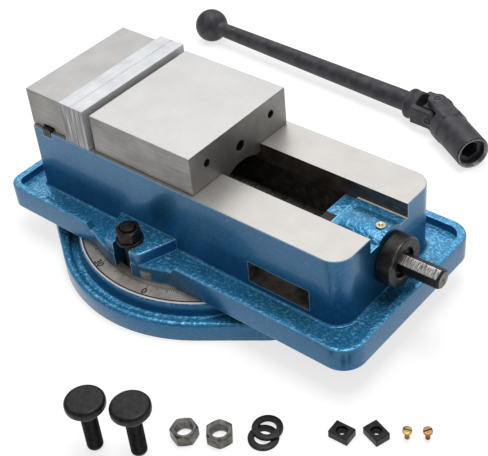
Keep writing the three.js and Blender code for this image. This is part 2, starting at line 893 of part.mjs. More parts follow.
function ballPlaces() {
  return Array.from({ length: bearing.ballCount }, (_, i) => {
    const angle = (i / bearing.ballCount) * 2 * Math.PI;
    const [across, up] = [bearing.ballPitch * Math.cos(angle), bearing.ballPitch * Math.sin(angle)];
    return { x: ballX, y: across, z: screwHeight + up };
  });
}

function thrustBall({ x, y, z }) {
  const ball = new THREE.SphereGeometry(bearing.ballRadius, facets.tiny, facets.tiny - 2);
  return closed(ball.translate(x, y, z));
}

function thrustCage() {
  const half = bearing.cageThickness / 2;
  const profile = ringProfile(bearing.cageInner, bearing.cageOuter, ballX - half, ballX + half);
  const hole = bearing.ballRadius + clearance;
  return cut(
    turned('x', profile, { z: screwHeight }),
    ...ballPlaces().map(({ y, z }) => (
      bar('x', hole, ballX - half - overrun, ballX + half + overrun, { y, z }, facets.small))),
  );
}

function screwBushing() {
  const inner = screw.journalRadius + clearance;
  const profile = ringProfile(inner, bushing.radius, counterboreEnd + clearance, screwEnd);
  return turned('x', profile, { z: screwHeight });
}

function collarPinX() {
  return collarStart + (collar.length - collar.recessDepth) / 2;
}

function screwCollar() {
  const inner = screw.journalRadius + clearance;
  const end = collarEnd;
  const face = end - collar.recessDepth;
  const { radius, chamfer } = collar;
  const ring = turned('x', [
    [inner, collarStart],
    [radius - chamfer, collarStart],
    [radius, collarStart + chamfer],
    [radius, end - chamfer],
    [radius - chamfer, end],
    [collar.recessRadius + chamfer, end],
    [collar.recessRadius, face],
    [inner, face],
    [inner, collarStart],
  ], { z: screwHeight });
  const pinHole = bar('z', collar.pinRadius + clearance, screwHeight + inner - overrun,
    screwHeight + radius + overrun, { x: collarPinX() }, facets.small);
  return cut(ring, pinHole);
}

function collarSetScrew() {
  const bottom = screwHeight + screw.journalRadius + clearance;
  const top = bottom + collar.pinLength;
  const place = { x: collarPinX() };
  return cut(
    bar('z', collar.pinRadius, bottom, top, place, facets.small),
    hexBar('z', collar.pinSocket, top - collar.pinRadius, top + overrun, place),
  );
}

// Ball oiler on the screw boss

function oilerCup() {
  const bottom = bossTop - oiler.stemDepth;
  const seat = bossTop + clearance;
  const top = seat + oiler.flangeThickness;
  const lip = top - oiler.flangeThickness / 2;
  return turned('z', [
    [oiler.drainRadius, bottom],
    [oiler.stemRadius, bottom],
    [oiler.stemRadius, seat],
    [oiler.flangeRadius, seat],
    [oiler.flangeRadius, top],
    [oiler.lipRadius, top],
    [oiler.lipRadius, lip],
    [oiler.cavityRadius, lip],
    [oiler.cavityRadius, bottom + oiler.floorThickness],
    [oiler.drainRadius, bottom + oiler.floorThickness],
    [oiler.drainRadius, bottom],
  ], { x: oilerX }, facets.small);
}

function oilerBallZ() {
  const lip = bossTop + clearance + oiler.flangeThickness / 2;
  return lip - Math.sqrt(oiler.ballRadius ** 2 - oiler.lipRadius ** 2) - clearance;
}

function oilerBall() {
  const ball = new THREE.SphereGeometry(oiler.ballRadius, facets.small, facets.tiny);
  return closed(ball.translate(oilerX, 0, oilerBallZ()));
}

class Helix extends THREE.Curve {
  constructor(radius, bottom, top, turns) {
    super();
    Object.assign(this, { radius, bottom, top, turns });
  }

  getPoint(t, target = new THREE.Vector3()) {
    const angle = 2 * Math.PI * this.turns * t;
    const height = THREE.MathUtils.lerp(this.bottom, this.top, t);
    return target.set(this.radius * Math.cos(angle), this.radius * Math.sin(angle), height);
  }
}

function oilerSpring() {
  const bottom = bossTop - oiler.stemDepth + oiler.floorThickness + oiler.wireRadius + clearance;
  const top = oilerBallZ() - oiler.ballRadius - oiler.ballTravel - oiler.wireRadius;
  const path = new Helix(oiler.springRadius, bottom, top, oiler.springTurns);
  const wire = new THREE.Shape();
  wire.absarc(0, 0, oiler.wireRadius, 0, 2 * Math.PI);
  const steps = facets.tiny * oiler.springTurns;
  const coil = new THREE.ExtrudeGeometry(wire, { extrudePath: path, steps, curveSegments: facets.wire });
  return closed(coil.translate(oilerX, 0, 0));
}

// Swivel clamps

function clampStudSolid(side) {
  const place = { y: side * studReach };
  const seat = studFloor + clampStud.headHeight;
  const top = padTop + clampStud.standsAbovePad;
  const shank = pinProfile(clampStud.radius, seat - overrun, top, clampStud.chamfer);
  return join(
    bar('z', clampStud.headRadius, studFloor, seat, place, facets.medium),
    turned('z', shank, place, facets.medium),
  );
}

function washerSolid(size, bottom, place) {
  const profile = ringProfile(size.holeRadius, size.radius, bottom, bottom + size.thickness);
  return turned('z', profile, place, facets.medium);
}

function nutSolid(size, boreRadius, bottom, place, heading = 0) {
  const hex = hexBar('z', size.acrossFlats, bottom, bottom + size.height);
  const bore = bar('z', boreRadius, bottom - overrun, bottom + size.height + overrun);
  const { x = 0, y = 0 } = place;
  return cut(hex, bore).rotateZ(radians(heading)).translate(x, y, 0);
}

function clampWasherSolid(side) {
  return washerSolid(clampWasher, padTop + clearance, { y: side * studReach });
}

function clampNutSolid(side) {
  const bottom = padTop + clearance + clampWasher.thickness + clearance;
  return nutSolid(clampNut, clampStud.radius + clearance, bottom, { y: side * studReach });
}

// Handle, drawn about its joint centre with the rod along -X; the socket is drawn along +X

function handleRod() {
  const { rodLength, ballRadius, rodThin, rodThick } = handle;
  const neck = Math.asin(rodThin / ballRadius);
  const arc = Array.from({ length: facets.arc + 1 }, (_, i) => {
    const angle = THREE.MathUtils.lerp(Math.PI, neck, i / facets.arc);
    return [ballRadius * Math.sin(angle), ballRadius * Math.cos(angle) - rodLength];
  });
  arc[0][0] = 0;
  const rod = turned('x', [
    ...arc,
    [rodThick, -yoke.block - yoke.blockDraft],
    [yoke.rodBlockRadius, -yoke.block],
    [yoke.rodBlockRadius, -yoke.throat],
    [0, -yoke.throat],
  ]);
  return cut(join(rod, ...tines('y', -1)), pinBore('y'));
}

// Two tines that hold a pin along `axis`, on the side `direction` of the joint centre
function tines(axis, direction) {
  const outline = new THREE.Shape();
  const { tineHalfWidth: half, throat, gapHalf, tineThickness } = yoke;
  const root = throat + overrun;
  outline.moveTo(root, half);
  outline.lineTo(0, half);
  outline.absarc(0, 0, half, Math.PI / 2, 1.5 * Math.PI);
  outline.lineTo(root, -half);
  return [1, -1].map((side) => {
    const [from, to] = side > 0 ? [gapHalf, gapHalf + tineThickness] : [-gapHalf - tineThickness, -gapHalf];
    const tine = plate(outline, from, to);
    if (direction < 0) tine.rotateZ(Math.PI);
    if (axis === 'y') tine.rotateX(Math.PI / 2);
    return tine;
  });
}

function pinBore(axis) {
  const reach = yoke.gapHalf + yoke.tineThickness + overrun;
  return bar(axis, jointPin.radius + clearance, -reach, reach, {}, facets.medium);
}

function handleSocket() {
  const { barrelRadius, socketBlockRadius, blockDraft, throat, block: blockEnd, mouth } = yoke;
  const { acrossFlats, depth, mouthRadius, mouthDepth } = socketBore;
  const barrel = turned('x', [
    [0, throat],
    [socketBlockRadius, throat],
    [socketBlockRadius, blockEnd],
    [barrelRadius, blockEnd + blockDraft],
    [barrelRadius, mouth],
    [0, mouth],
  ]);
  const bore = join(
    hexBar('x', acrossFlats, mouth - depth, mouth),
    bar('x', mouthRadius, mouth - mouthDepth, mouth + overrun),
  );
  return cut(join(barrel, ...tines('z', 1)), bore, pinBore('z'));
}

function handleCross() {
  const { half } = crossBlock;
  const reach = half + overrun;
  const bores = ['y', 'z'].map((axis) => bar(axis, jointPin.radius + clearance, -reach, reach));
  return cut(block(-half, half, -half, half, -half, half), ...bores);
}

function longPin() {
  const reach = yoke.gapHalf + yoke.tineThickness + jointPin.stand;
  return turned('z', pinProfile(jointPin.radius, -reach, reach, jointPin.stand));
}

function shortPin(side) {
  const reach = yoke.gapHalf + yoke.tineThickness + jointPin.stand;
  const inner = jointPin.radius + clearance;
  const [from, to] = side > 0 ? [inner, reach] : [-reach, -inner];
  return turned('y', pinProfile(jointPin.radius, from, to, jointPin.stand));
}

// Loose fixings

function looseBoltSolid([x, y]) {
  const { radius, length, headRadius, headHeight, tip } = looseBolt;
  const top = length + headHeight;
  const bevel = headHeight / 4;
  return turned('z', [
    [0, 0],
    [radius - tip, 0],
    [radius, tip],
    [radius, length],
    [headRadius - bevel, length],
    [headRadius, length + bevel],
    [headRadius, top - bevel],
    [headRadius - bevel, top],
    [0, top],
  ], { x, y });
}

function looseKeySolid([x, y], heading) {
  const { length, width, height, holeRadius, counterboreRadius, counterboreDepth } = looseKey;
  const solid = cut(
    block(-length / 2, length / 2, -width / 2, width / 2, 0, height),
    bar('z', holeRadius, -overrun, height + overrun, {}, facets.small),
    bar('z', counterboreRadius, height - counterboreDepth, height + overrun, {}, facets.small),
  );
  return solid.rotateZ(radians(heading)).translate(x, y, 0);
}

function looseScrewSolid([x, y], heading) {
  const { radius, length, headRadius, headHeight, slotWidth, slotDepth } = looseScrew;
  const top = length + headHeight;
  const reach = headRadius + overrun;
  const profile = [[0, 0], [radius, 0], [radius, length], [headRadius, length], [headRadius, top], [0, top]];
  const solid = cut(
    turned('z', profile, {}, facets.small),
    block(-reach, reach, -slotWidth / 2, slotWidth / 2, top - slotDepth, top + overrun),
  );
  return solid.rotateZ(radians(heading)).translate(x, y, 0);
}

// Finishes: [colour, roughness, metalness]

const finishes = {
  paint: ['#1f5f94', 0.45, 0.1],
  ground: ['#cfcac4', 0.32, 0.9],
  plateSteel: ['#c9ccd2', 0.25, 0.95],
  blackOxide: ['#2b2829', 0.5, 0.7],
  handleBlack: ['#3f3e42', 0.6, 0.4],
  darkSteel: ['#5a5853', 0.42, 0.85],
  brightSteel: ['#b9b6b0', 0.3, 0.95],
  bronze: ['#a87c3e', 0.4, 0.9],
  brass: ['#c9a24a', 0.35, 0.9],
};

const sides = [['near', -1], ['far', 1]]; // the near side is -Y

function piece(name, geometry, finish, parent) {
  const [color, roughness, metalness] = finishes[finish];
  const mesh = new THREE.Mesh(geometry, new THREE.MeshStandardMaterial({ color, roughness, metalness }));
  mesh.name = name;
  parent.add(mesh);
  return mesh;
}

function addBase(parent) {
  piece('swivel_base', swivelBase(), 'paint', parent);
  piece('centre_pivot', centrePivot(), 'brightSteel', parent);
}

function addBody(parent) {
  piece('vise_body', viseBody(), 'paint', parent);
  piece('fixed_jaw', fixedJaw(), 'ground', parent);
  piece('fixed_jaw_key', crossKeySolid(), 'darkSteel', parent);
  piece('fixed_jaw_plate', jawPlateSolid(fixedPlateEnd, fixedPlateStart), 'plateSteel', parent);
  for (const [name, side] of sides) {
    piece(`fixed_jaw_bolt_${name}`, jawBoltSolid(side), 'blackOxide', parent);
    piece(`fixed_plate_screw_${name}`, plateScrewSolid(fixedPlateEnd, -1, side), 'blackOxide', parent);
  }
  piece('screw_bushing', screwBushing(), 'bronze', parent);
  piece('oiler_cup', oilerCup(), 'brass', parent);
  piece('oiler_ball', oilerBall(), 'brightSteel', parent);
  piece('oiler_spring', oilerSpring(), 'brightSteel', parent);
}

function addMovableJaw(parent) {
  piece('movable_jaw', movableJaw(), 'ground', parent);
  piece('movable_jaw_plate', jawPlateSolid(movablePlateStart, movablePlateEnd), 'plateSteel', parent);
  for (const [name, side] of sides) {
    piece(`movable_plate_screw_${name}`, plateScrewSolid(movablePlateStart, 1, side), 'blackOxide', parent);
  }
  piece('half_ball', halfBallSolid(), 'brightSteel', parent);
  piece('jaw_nut', jawNut(), 'darkSteel', parent);
  piece('jaw_set_screw', jawSetScrew(), 'blackOxide', parent);
}

function addScrew(parent) {
  piece('lead_screw', leadScrew(), 'darkSteel', parent);
  piece('thrust_race_rear', thrustRace(rearRaceStart), 'brightSteel', parent);
  ballPlaces().forEach((place, i) => {
    piece(`thrust_ball_${i + 1}`, thrustBall(place), 'brightSteel', parent);
  });
  piece('thrust_cage', thrustCage(), 'brass', parent);
  piece('thrust_race_front', thrustRace(frontRaceStart), 'brightSteel', parent);
  piece('screw_collar', screwCollar(), 'blackOxide', parent);
  piece('collar_set_screw', collarSetScrew(), 'blackOxide', parent);
}

function addClamps(parent) {
  for (const [name, side] of sides) {
    piece(`clamp_stud_${name}`, clampStudSolid(side), 'blackOxide', parent);
    piece(`clamp_washer_${name}`, clampWasherSolid(side), 'blackOxide', parent);
    piece(`clamp_nut_${name}`, clampNutSolid(side), 'blackOxide', parent);
  }
}

function addHandle(parent) {
  const rodGroup = new THREE.Group();
  rodGroup.position.set(handle.x, handle.y, handle.ballRadius);
  rodGroup.rotation.z = radians(handle.heading);
  parent.add(rodGroup);
  piece('handle_rod', handleRod(), 'handleBlack', rodGroup);
  piece('handle_cross', handleCross(), 'handleBlack', rodGroup);
  for (const [name, side] of sides) {
    piece(`handle_short_pin_${name}`, shortPin(side), 'handleBlack', rodGroup);
  }
  piece('handle_long_pin', longPin(), 'handleBlack', rodGroup);
  const socketGroup = new THREE.Group();
  socketGroup.rotation.z = radians(handle.bend);
  rodGroup.add(socketGroup);
  piece('handle_socket', handleSocket(), 'handleBlack', socketGroup);
}

function addLooseFixings(parent) {
  looseBolt.places.forEach((place, i) => {
    piece(`table_bolt_${i + 1}`, looseBoltSolid(place), 'blackOxide', parent);
  });
  looseNut.places.forEach(([x, y], i) => {
    const geometry = nutSolid(looseNut, looseNut.boreRadius, 0, { x, y }, looseNut.headings[i]);
    piece(`table_nut_${i + 1}`, geometry, 'darkSteel', parent);
  });
  looseWasher.places.forEach(([x, y], i) => {
    const geometry = washerSolid(looseWasher, i * (looseWasher.thickness + clearance), { x, y });
    piece(`table_washer_${i + 1}`, geometry, 'blackOxide', parent);
  });
  looseKey.places.forEach((place, i) => {
    piece(`slot_key_${i + 1}`, looseKeySolid(place, looseKey.headings[i]), 'blackOxide', parent);
  });
  looseScrew.places.forEach((place, i) => {
    piece(`key_screw_${i + 1}`, looseScrewSolid(place, looseScrew.headings[i]), 'brass', parent);
  });
}

const group = new THREE.Group();
addBase(group);
const swivelling = new THREE.Group();
swivelling.position.x = -lug.axisOffset;
group.add(swivelling);
addBody(swivelling);
addMovableJaw(swivelling);
addScrew(swivelling);
addClamps(swivelling);
addHandle(group);
addLooseFixings(group);

export default group;
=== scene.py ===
import math
from math import pi

import bmesh
import bpy
import numpy as np
from mathutils import Matrix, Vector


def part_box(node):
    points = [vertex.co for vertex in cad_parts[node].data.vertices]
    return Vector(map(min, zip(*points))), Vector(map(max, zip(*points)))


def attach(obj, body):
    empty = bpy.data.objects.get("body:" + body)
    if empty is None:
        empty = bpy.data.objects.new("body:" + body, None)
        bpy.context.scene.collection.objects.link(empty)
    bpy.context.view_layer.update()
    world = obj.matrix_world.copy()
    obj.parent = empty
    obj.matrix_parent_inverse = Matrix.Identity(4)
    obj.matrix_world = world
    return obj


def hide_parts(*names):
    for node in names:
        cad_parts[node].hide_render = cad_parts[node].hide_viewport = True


# Milling vise on a graduated swivel base, with its crank handle and loose table fixings.
# Shapes are worked out in millimetres and put into the meshes in metres.

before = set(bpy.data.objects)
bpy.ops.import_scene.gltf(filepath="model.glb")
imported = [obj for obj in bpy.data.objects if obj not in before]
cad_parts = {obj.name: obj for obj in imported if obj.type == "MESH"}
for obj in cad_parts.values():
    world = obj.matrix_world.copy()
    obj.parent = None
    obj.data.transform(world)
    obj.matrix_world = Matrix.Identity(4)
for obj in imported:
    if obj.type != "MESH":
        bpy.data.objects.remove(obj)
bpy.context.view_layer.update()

MM = 0.001
TURN = 2 * pi

# Sizes, in millimetres, in the frame of the model

AXIS_Z = 90.0  # height of the lead screw
LEAD = 5.0  # the screw's travel in one turn
LUG_X, STUD_Y = -12.0, 108.0  # where the clamp studs stand, from the swivel axis
CLAMP_CIRCLE = 108.66  # the circle that they run on
BODY_START, BODY_END = -177.0, 243.0
BODY_FOOT, WAYS_TOP = 33.0, 134.0
WAYS_HALF = 80.2
SLOT_HALF = 31.65  # half the slot between the ways
BAY_HALF = 48.2  # half the wider bay below it
BAY_START, BAY_END = -112.0, 168.0
FLANGE_START, FLANGE_END, FLANGE_HALF = -208.0, 274.0, 112.3
CHANNEL, RIM_HIGH = 51.5, 9.2  # floor of the coolant channel, and the flange's rim above it
DISC_TOP, DISC_RADIUS = 32.7, 143.9
SKIRT_RADIUS = 124.5
RIM_RADIUS = 167.0  # the base's rim
EAR_X, EAR_Y, EAR_CORNER = 134.0, 60.0, 41.0  # centre and radius of the ears' round corners
BOLT_RADIUS, BOLT_PITCH = 8.0, 2.0
NUT_ACROSS, NUT_HIGH = 24.0, 13.0
OILER_X = 233.0
WASHER = (8.6, 15, 2.8)  # hole, radius and thickness


# Shader helpers


def linear(shade):
    """An sRGB hex colour such as '#2c5278' as linear red, green, blue and alpha."""
    srgb = np.array([int(shade[i : i + 2], 16) for i in (1, 3, 5)]) / 255
    low, high = srgb / 12.92, ((srgb + 0.055) / 1.055) ** 2.4
    return (*np.where(srgb <= 0.04045, low, high).tolist(), 1.0)


def blank(owner):
    """Empties the node tree of a material or world, and returns the helper that adds its nodes."""
    owner.use_nodes = True
    tree = owner.node_tree
    tree.nodes.clear()

    def node(kind, inputs=None, stops=None, **settings):
        """Adds one shader node. inputs maps a socket to its constant, to the output that feeds it, or
        to the node whose first output does. stops lists a colour ramp's places and colours, and
        settings are the node's own properties."""
        made = tree.nodes.new("ShaderNode" + kind)
        for name, value in settings.items():
            setattr(made, name, value)
        for socket, value in (inputs or {}).items():
            if isinstance(value, bpy.types.Node):
                value = value.outputs[0]
            if isinstance(value, bpy.types.NodeSocket):
                tree.links.new(value, made.inputs[socket])
            else:
                made.inputs[socket].default_value = value
        for stop, (place, colour) in zip(made.color_ramp.elements if stops else (), stops or ()):
            stop.position, stop.color = place, colour
        return made

    return node


def finish(name, recipe, *values, **settings):
    """A material. recipe(node, place, ...) gets the helper that adds nodes, the Object coordinates
    and the values, and returns the shader's inputs."""
    material = bpy.data.materials.new(name)
    node = blank(material)
    place = node("TexCoord").outputs["Object"]
    shader = node("BsdfPrincipled", recipe(node, place, *values, **settings))
    node("OutputMaterial", {"Surface": shader})
    return material


def per_mm(size):
    """A texture's scale for a feature of that size in millimetres."""
    return 1 / (size * MM)


# Materials


def hammertone(node, place, dark, middle, light):
    """Hammertone enamel on cast iron: sprayed and settled into dimples some 3 mm across under a glossy
    skin, with flake that shows on the ridges. Its colour is painted lighter on level faces, with pale
    flecks on their ridges as a painted highlight, and plain and deep on steep ones. Every edge where the
    surface turns within about 2 mm is painted pale: a painted edge highlight."""
    surface = node("NewGeometry")
    facing = node("SeparateXYZ", {0: surface.outputs["Normal"]})
    level = node("MapRange",
                 {"Value": facing.outputs["Z"], "From Min": 0.3, "From Max": 0.95, "To Min": 0.1})
    # Painted edge highlight: pale where the Bevel normal parts from the surface's normal, within about 2 mm
    # of an edge
    softened = node("Bevel", {"Radius": 2.2 * MM}, samples=8)
    agreement = node("VectorMath", {0: softened, 1: surface.outputs["Normal"]}, operation="DOT_PRODUCT")
    edge = node("MapRange", {"Value": agreement.outputs["Value"],
                "From Min": 0.99, "From Max": 0.9, "To Max": 0.9})
    wander = node("TexNoise", {"Vector": place, "Scale": per_mm(5), "Detail": 2.0})
    shift = node("VectorMath", {0: wander.outputs["Color"], "Scale": 2.4 * MM}, operation="SCALE")
    moved = node("VectorMath", {0: place, 1: shift}, operation="ADD")
    cells = node("TexVoronoi",
                 {"Vector": moved, "Scale": per_mm(3.0), "Smoothness": 0.5}, feature="SMOOTH_F1")
    pools = node("TexNoise", {"Vector": place, "Scale": per_mm(20), "Detail": 5.0, "Roughness": 0.6})
    fleck = node("TexNoise", {"Vector": place, "Scale": per_mm(1.3), "Detail": 3.0, "Roughness": 0.7})
    # Painted top light: level faces get a lighter tone
    pooled = node("Math", {0: level, 1: pools}, operation="MULTIPLY")
    depth = node("Math", {0: pooled, 1: 0.8, 2: 0.44}, operation="MULTIPLY_ADD")
    tone = node("ValToRGB", {"Fac": depth}, stops=[(0.24, linear(dark)), (1.0, linear(middle))])
    # Painted highlight: pale flecks on the ridges, kept to level faces
    ridge = node("Math", {0: cells, 1: fleck}, operation="MULTIPLY")
    glint = node("MapRange", {"Value": ridge, "From Min": 0.24, "From Max": 0.5, "To Max": 0.85})
    sparkle = node("Math", {0: glint, 1: level}, operation="MULTIPLY")
    # The painted highlights, from level faces and from edges, mix in the light colour
    pale = node("Math", {0: sparkle, 1: edge}, operation="MAXIMUM")
    colour = node("Mix", {0: pale, 6: tone, 7: linear(light)}, data_type="RGBA")
    gloss = node("MapRange", {"Value": fleck, "To Min": 0.22, "To Max": 0.42})
    relief = node("Bump", {"Height": cells, "Strength": level, "Distance": 0.5 * MM}, invert=True)
    return {"Base Color": colour.outputs[2], "Roughness": gloss, "Metallic": 0.55,
            "Normal": relief, "Coat Weight": 0.35, "Coat Roughness": 0.1}


def bare(node, tone, stops, wear, gloss, tooth, strength, depth, metallic):
    """What the unpainted finishes share: tone picks a colour between the stops, wear the roughness
    as gloss maps it, and tooth is a relief, its depth in millimetres."""
    colour = node("ValToRGB", {"Fac": tone}, stops=[(stop, linear(shade)) for stop, shade in stops])
    rough = node("MapRange", {"Value": wear, **gloss})
    relief = node("Bump", {"Height": tooth, "Strength": strength, "Distance": depth * MM})
    return {"Base Color": colour, "Roughness": rough, "Metallic": metallic, "Normal": relief}


def ground(node, place, dark, light, grain, rough=0.42, metallic=0.75, mottle=14.0):
    """Surface-ground iron or steel: fine parallel scratches, drawn about 0.5 mm apart so that they
    show, over a faint cloudiness. grain stretches the scratches along x, y and z."""
    lines = node("Mapping", {"Vector": place, "Scale": grain})
    scratch = node("TexNoise", {"Vector": lines, "Scale": per_mm(0.5), "Detail": 3.0, "Roughness": 0.6})
    cloud = node("TexNoise", {"Vector": place, "Scale": per_mm(mottle), "Detail": 5.0})
    speck = node("TexNoise", {"Vector": place, "Scale": per_mm(1.4), "Detail": 2.0})
    blend = node("Math", {0: scratch, 1: cloud}, operation="MULTIPLY")
    mixed = node("Math", {0: blend, 1: speck, 2: 0.1}, operation="MULTIPLY_ADD")
    gloss = {"From Min": 0.1, "From Max": 0.5, "To Min": rough - 0.07, "To Max": rough + 0.09}
    return bare(node, blend, [(0.14, dark), (0.36, light)], mixed, gloss, scratch, 0.14, 0.05, metallic)


def cloudy(node, place, dark, light, size, rough, metallic, relief_depth, grain=(1, 1, 1)):
    """A blackened or as-cast surface: cloudy patches of two close tones, a fine tooth in the
    gloss and a soft relief. grain stretches the patches along x, y and z."""
    drawn = node("Mapping", {"Vector": place, "Scale": grain})
    cloud = node("TexNoise", {"Vector": drawn, "Scale": per_mm(size), "Detail": 5.0})
    tooth = node("TexNoise", {"Vector": place, "Scale": per_mm(0.9), "Detail": 4.0, "Roughness": 0.7})
    gloss = {"To Min": rough - 0.14, "To Max": rough + 0.14}
    stops = [(0.36, dark), (0.68, light)]
    return bare(node, cloud, stops, tooth, gloss, tooth, 0.35, relief_depth, metallic)


def ring_ground(node, place, dark, light, rough, metallic=0.7):
    """A face turned or ground in the round: fine rings about the swivel axis, about 0.4 mm apart."""
    flat = node("VectorMath", {0: place, 1: (1, 1, 0)}, operation="MULTIPLY")
    reach = node("VectorMath", {0: flat}, operation="LENGTH")
    rings = node("TexNoise", {"W": reach.outputs["Value"], "Scale": per_mm(0.4), "Detail": 2.0},
                 noise_dimensions="1D")
    cloud = node("TexNoise", {"Vector": place, "Scale": per_mm(16), "Detail": 4.0})
    blend = node("Math", {0: rings, 1: cloud}, operation="MULTIPLY")
    gloss = {"To Min": rough - 0.08, "To Max": rough + 0.08}
    return bare(node, blend, [(0.14, dark), (0.36, light)], rings, gloss, rings, 0.12, 0.04, metallic)


ALONG_X, ALONG_Y, ALONG_Z = (0.02, 1, 1), (1, 0.02, 1), (1, 1, 0.02)

# Blue hammered enamel with painted highlights: lighter and flecked on level faces, pale along rounded
# edges.
# A darker copy on the turned boss, and a pale copy on the castings' rounded edges that is a painted edge
# highlight
enamel = finish("hammertone_enamel", hammertone, "#0d4169", "#2c96cc", "#96d9f6")
boss_enamel = finish("hammertone_enamel_on_boss", hammertone, "#0d4169", "#1f7cab", "#68b6da")
worn_enamel = finish("enamel_worn_on_edges", hammertone, "#3c84b6", "#6cb0dc", "#bfe2f5")
# Ground iron and steel: pale, satin, with straight scratches, and duller where it is milled or sawn
way_iron = finish("ground_way_iron", ground, "#c4c0bc", "#d0cdc9", ALONG_X, mottle=34.0)
jaw_iron = finish("ground_jaw_iron", ground, "#c7c6c4", "#d2d1cf", ALONG_Y, mottle=34.0)
dull_jaw_iron = finish("dull_ground_jaw_iron", ground, "#b1b0af", "#c1c0bf", ALONG_Y, mottle=30.0)
# The jaws' sides: milled and rougher, and darker as painted shade
side_iron = finish("milled_jaw_side", ground, "#868380", "#abaaa7", ALONG_X, rough=0.5, mottle=40.0)
plate_steel = finish("ground_plate_steel", ground,
                     "#c6c8cb", "#dee1e4", ALONG_Y, rough=0.36, metallic=0.5, mottle=18.0)
plate_end_steel = finish("sawn_plate_end", cloudy,
                         "#6f6e70", "#c4c3c3", 2.4, 0.4, 0.6, 0.04, (1, 1, 0.05))
# The plates' faces across X: lighter, as painted light
plate_face_steel = finish("lapped_plate_face", ground,
                          "#d6d7d9", "#ecedee", ALONG_Y, rough=0.4, metallic=0.2, mottle=18.0)
index_steel = finish("scraped_index_pad", ground, "#7f8284", "#b3b2af", ALONG_Z, rough=0.5, mottle=5.0)
# Unpainted iron inside the castings: brown-grey as cast, darker and smoother under oil, and near black as
# painted shadow on the ledge's near side
bay_iron = finish("raw_cast_iron", cloudy, "#4c4641", "#7a7169", 9.0, 0.7, 0.3, 0.12)
slide_iron = finish("oily_slide_iron", cloudy, "#4a403b", "#6b605a", 14.0, 0.45, 0.5, 0.04)
oily_iron = finish("oil_blackened_iron", cloudy, "#1b1817", "#302b28", 9.0, 0.5, 0.3, 0.08)
bore_iron = finish("bored_iron", cloudy, "#3a3835", "#5c5955", 5.0, 0.45, 0.7, 0.05)
# The degree scale: a warm grey ring with black cuts and a near-white bevel, a painted highlight
scale_steel = finish("ground_scale_ring", ring_ground, "#a89f95", "#cbc3b9", 0.46)
bevel_steel = finish("polished_bevel", ring_ground, "#ecebe8", "#fdfcfa", 0.3, 0.15)
scale_ink = finish("engraved_black", cloudy, "#141312", "#24211f", 2.0, 0.6, 0.1, 0.02)
# Blackened steel: near black, with a soft sheen, grey on the socket's turned chamfer, and paler on the
# pins' burrs and the collar's chamfers as painted highlights
black_oxide = finish("black_oxide_steel", cloudy, "#1b1918", "#33302f", 7.0, 0.42, 0.6, 0.04)
bolt_oxide = finish("blued_bolt_steel", cloudy, "#141415", "#28282b", 5.0, 0.4, 0.5, 0.05)
clamp_oxide = finish("browned_nut_steel", cloudy, "#1c1512", "#40312a", 6.0, 0.42, 0.6, 0.05)
forging = finish("blackened_forging", cloudy, "#38373c", "#525157", 12.0, 0.52, 0.35, 0.16)
forging_worn = finish("forging_worn_bright", cloudy, "#77767a", "#a3a2a5", 4.0, 0.4, 0.8, 0.05)
burr = finish("rubbed_forging_burr", cloudy, "#5d5c61", "#918f95", 3.0, 0.4, 0.5, 0.05)
# Bare working steel: oiled and dark, or bright where it is cut or polished; light streaks on every other
# flank of the screw's hexagon are painted highlights
nut_steel = finish("turned_nut_steel", cloudy, "#4e4d48", "#7c7a71", 5.0, 0.36, 0.85, 0.03)
thread_steel = finish("bright_thread_steel", ground, "#8b8985", "#c9c7c3", ALONG_Z, rough=0.34)
hex_steel = finish("machined_hex_steel", cloudy,
                   "#4a4846", "#f2f0ee", 0.9, 0.34, 0.3, 0.05, (1, 0.12, 0.12))
oxide_worn = finish("black_oxide_rubbed_bright", cloudy, "#33312f", "#5d5a57", 3.0, 0.36, 0.7, 0.03)
screw_steel = finish("oiled_screw_steel", cloudy, "#4a4742", "#77736b", 6.0, 0.34, 0.85, 0.02)
key_steel = finish("dull_key_steel", cloudy, "#3a332e", "#5f5750", 4.0, 0.5, 0.6, 0.04)
bright_steel = finish("polished_bearing_steel", ground,
                      "#a5a39f", "#cfcdc9", ALONG_Z, rough=0.22, metallic=0.95)
# Bronze and brass: yellow, with a bright turned sheen
bronze = finish("sintered_bronze", cloudy, "#7d5a2b", "#a97f42", 3.0, 0.42, 0.9, 0.03)
brass = finish("turned_brass", cloudy, "#a68a50", "#d6bd82", 4.0, 0.3, 0.9, 0.02)
red_brass = finish("red_turned_brass", cloudy, "#a07350", "#d0a17a", 4.0, 0.3, 0.9, 0.02)
pale_brass = finish("pale_turned_brass", cloudy, "#a79c79", "#d8d0ae", 3.0, 0.28, 0.9, 0.02)


# Mesh helpers


def read(collection, name):
    """One vector of each of a mesh's elements, as an array with a row for each."""
    values = np.zeros(len(collection) * 3)
    collection.foreach_get(name, values)
    return values.reshape(-1, 3)


def skin(stack, ring=True):
    """Points and quads of a surface p(i, j), given as an array of rows: each row is joined to the
    next, and ring joins each row's last point to its first."""
    rows, columns = stack.shape[:2]
    index = np.arange(rows * columns).reshape(rows, columns)
    here = index if ring else index[:, :-1]
    after = np.roll(index, -1, axis=1) if ring else index[:, 1:]
    quads = np.stack([here[:-1], after[:-1], after[1:], here[1:]], axis=-1)
    return stack.reshape(-1, 3), quads.reshape(-1, 4)


def round_points(reach, angle, height):
    """Points about Z: p = (r cos a, r sin a, h)."""
    return np.stack(np.broadcast_arrays(reach * np.cos(angle), reach * np.sin(angle), height), axis=-1)


def arc_points(radius, start, end, count, centre=(0, 0)):
    """Flat points along an arc: p = (x + r cos a, y + r sin a)."""
    angle = np.linspace(start, end, count)
    return np.column_stack([centre[0] + radius * np.cos(angle), centre[1] + radius * np.sin(angle)])


def round_about(columns):
    """Even angles round a full turn."""
    return np.arange(columns) / columns * TURN


def turned(profile, columns=56):
    """A profile of (radius, height) points turned about Z."""
    radius, height = np.array(profile, float).T[..., None]
    return round_points(radius, round_about(columns), height)


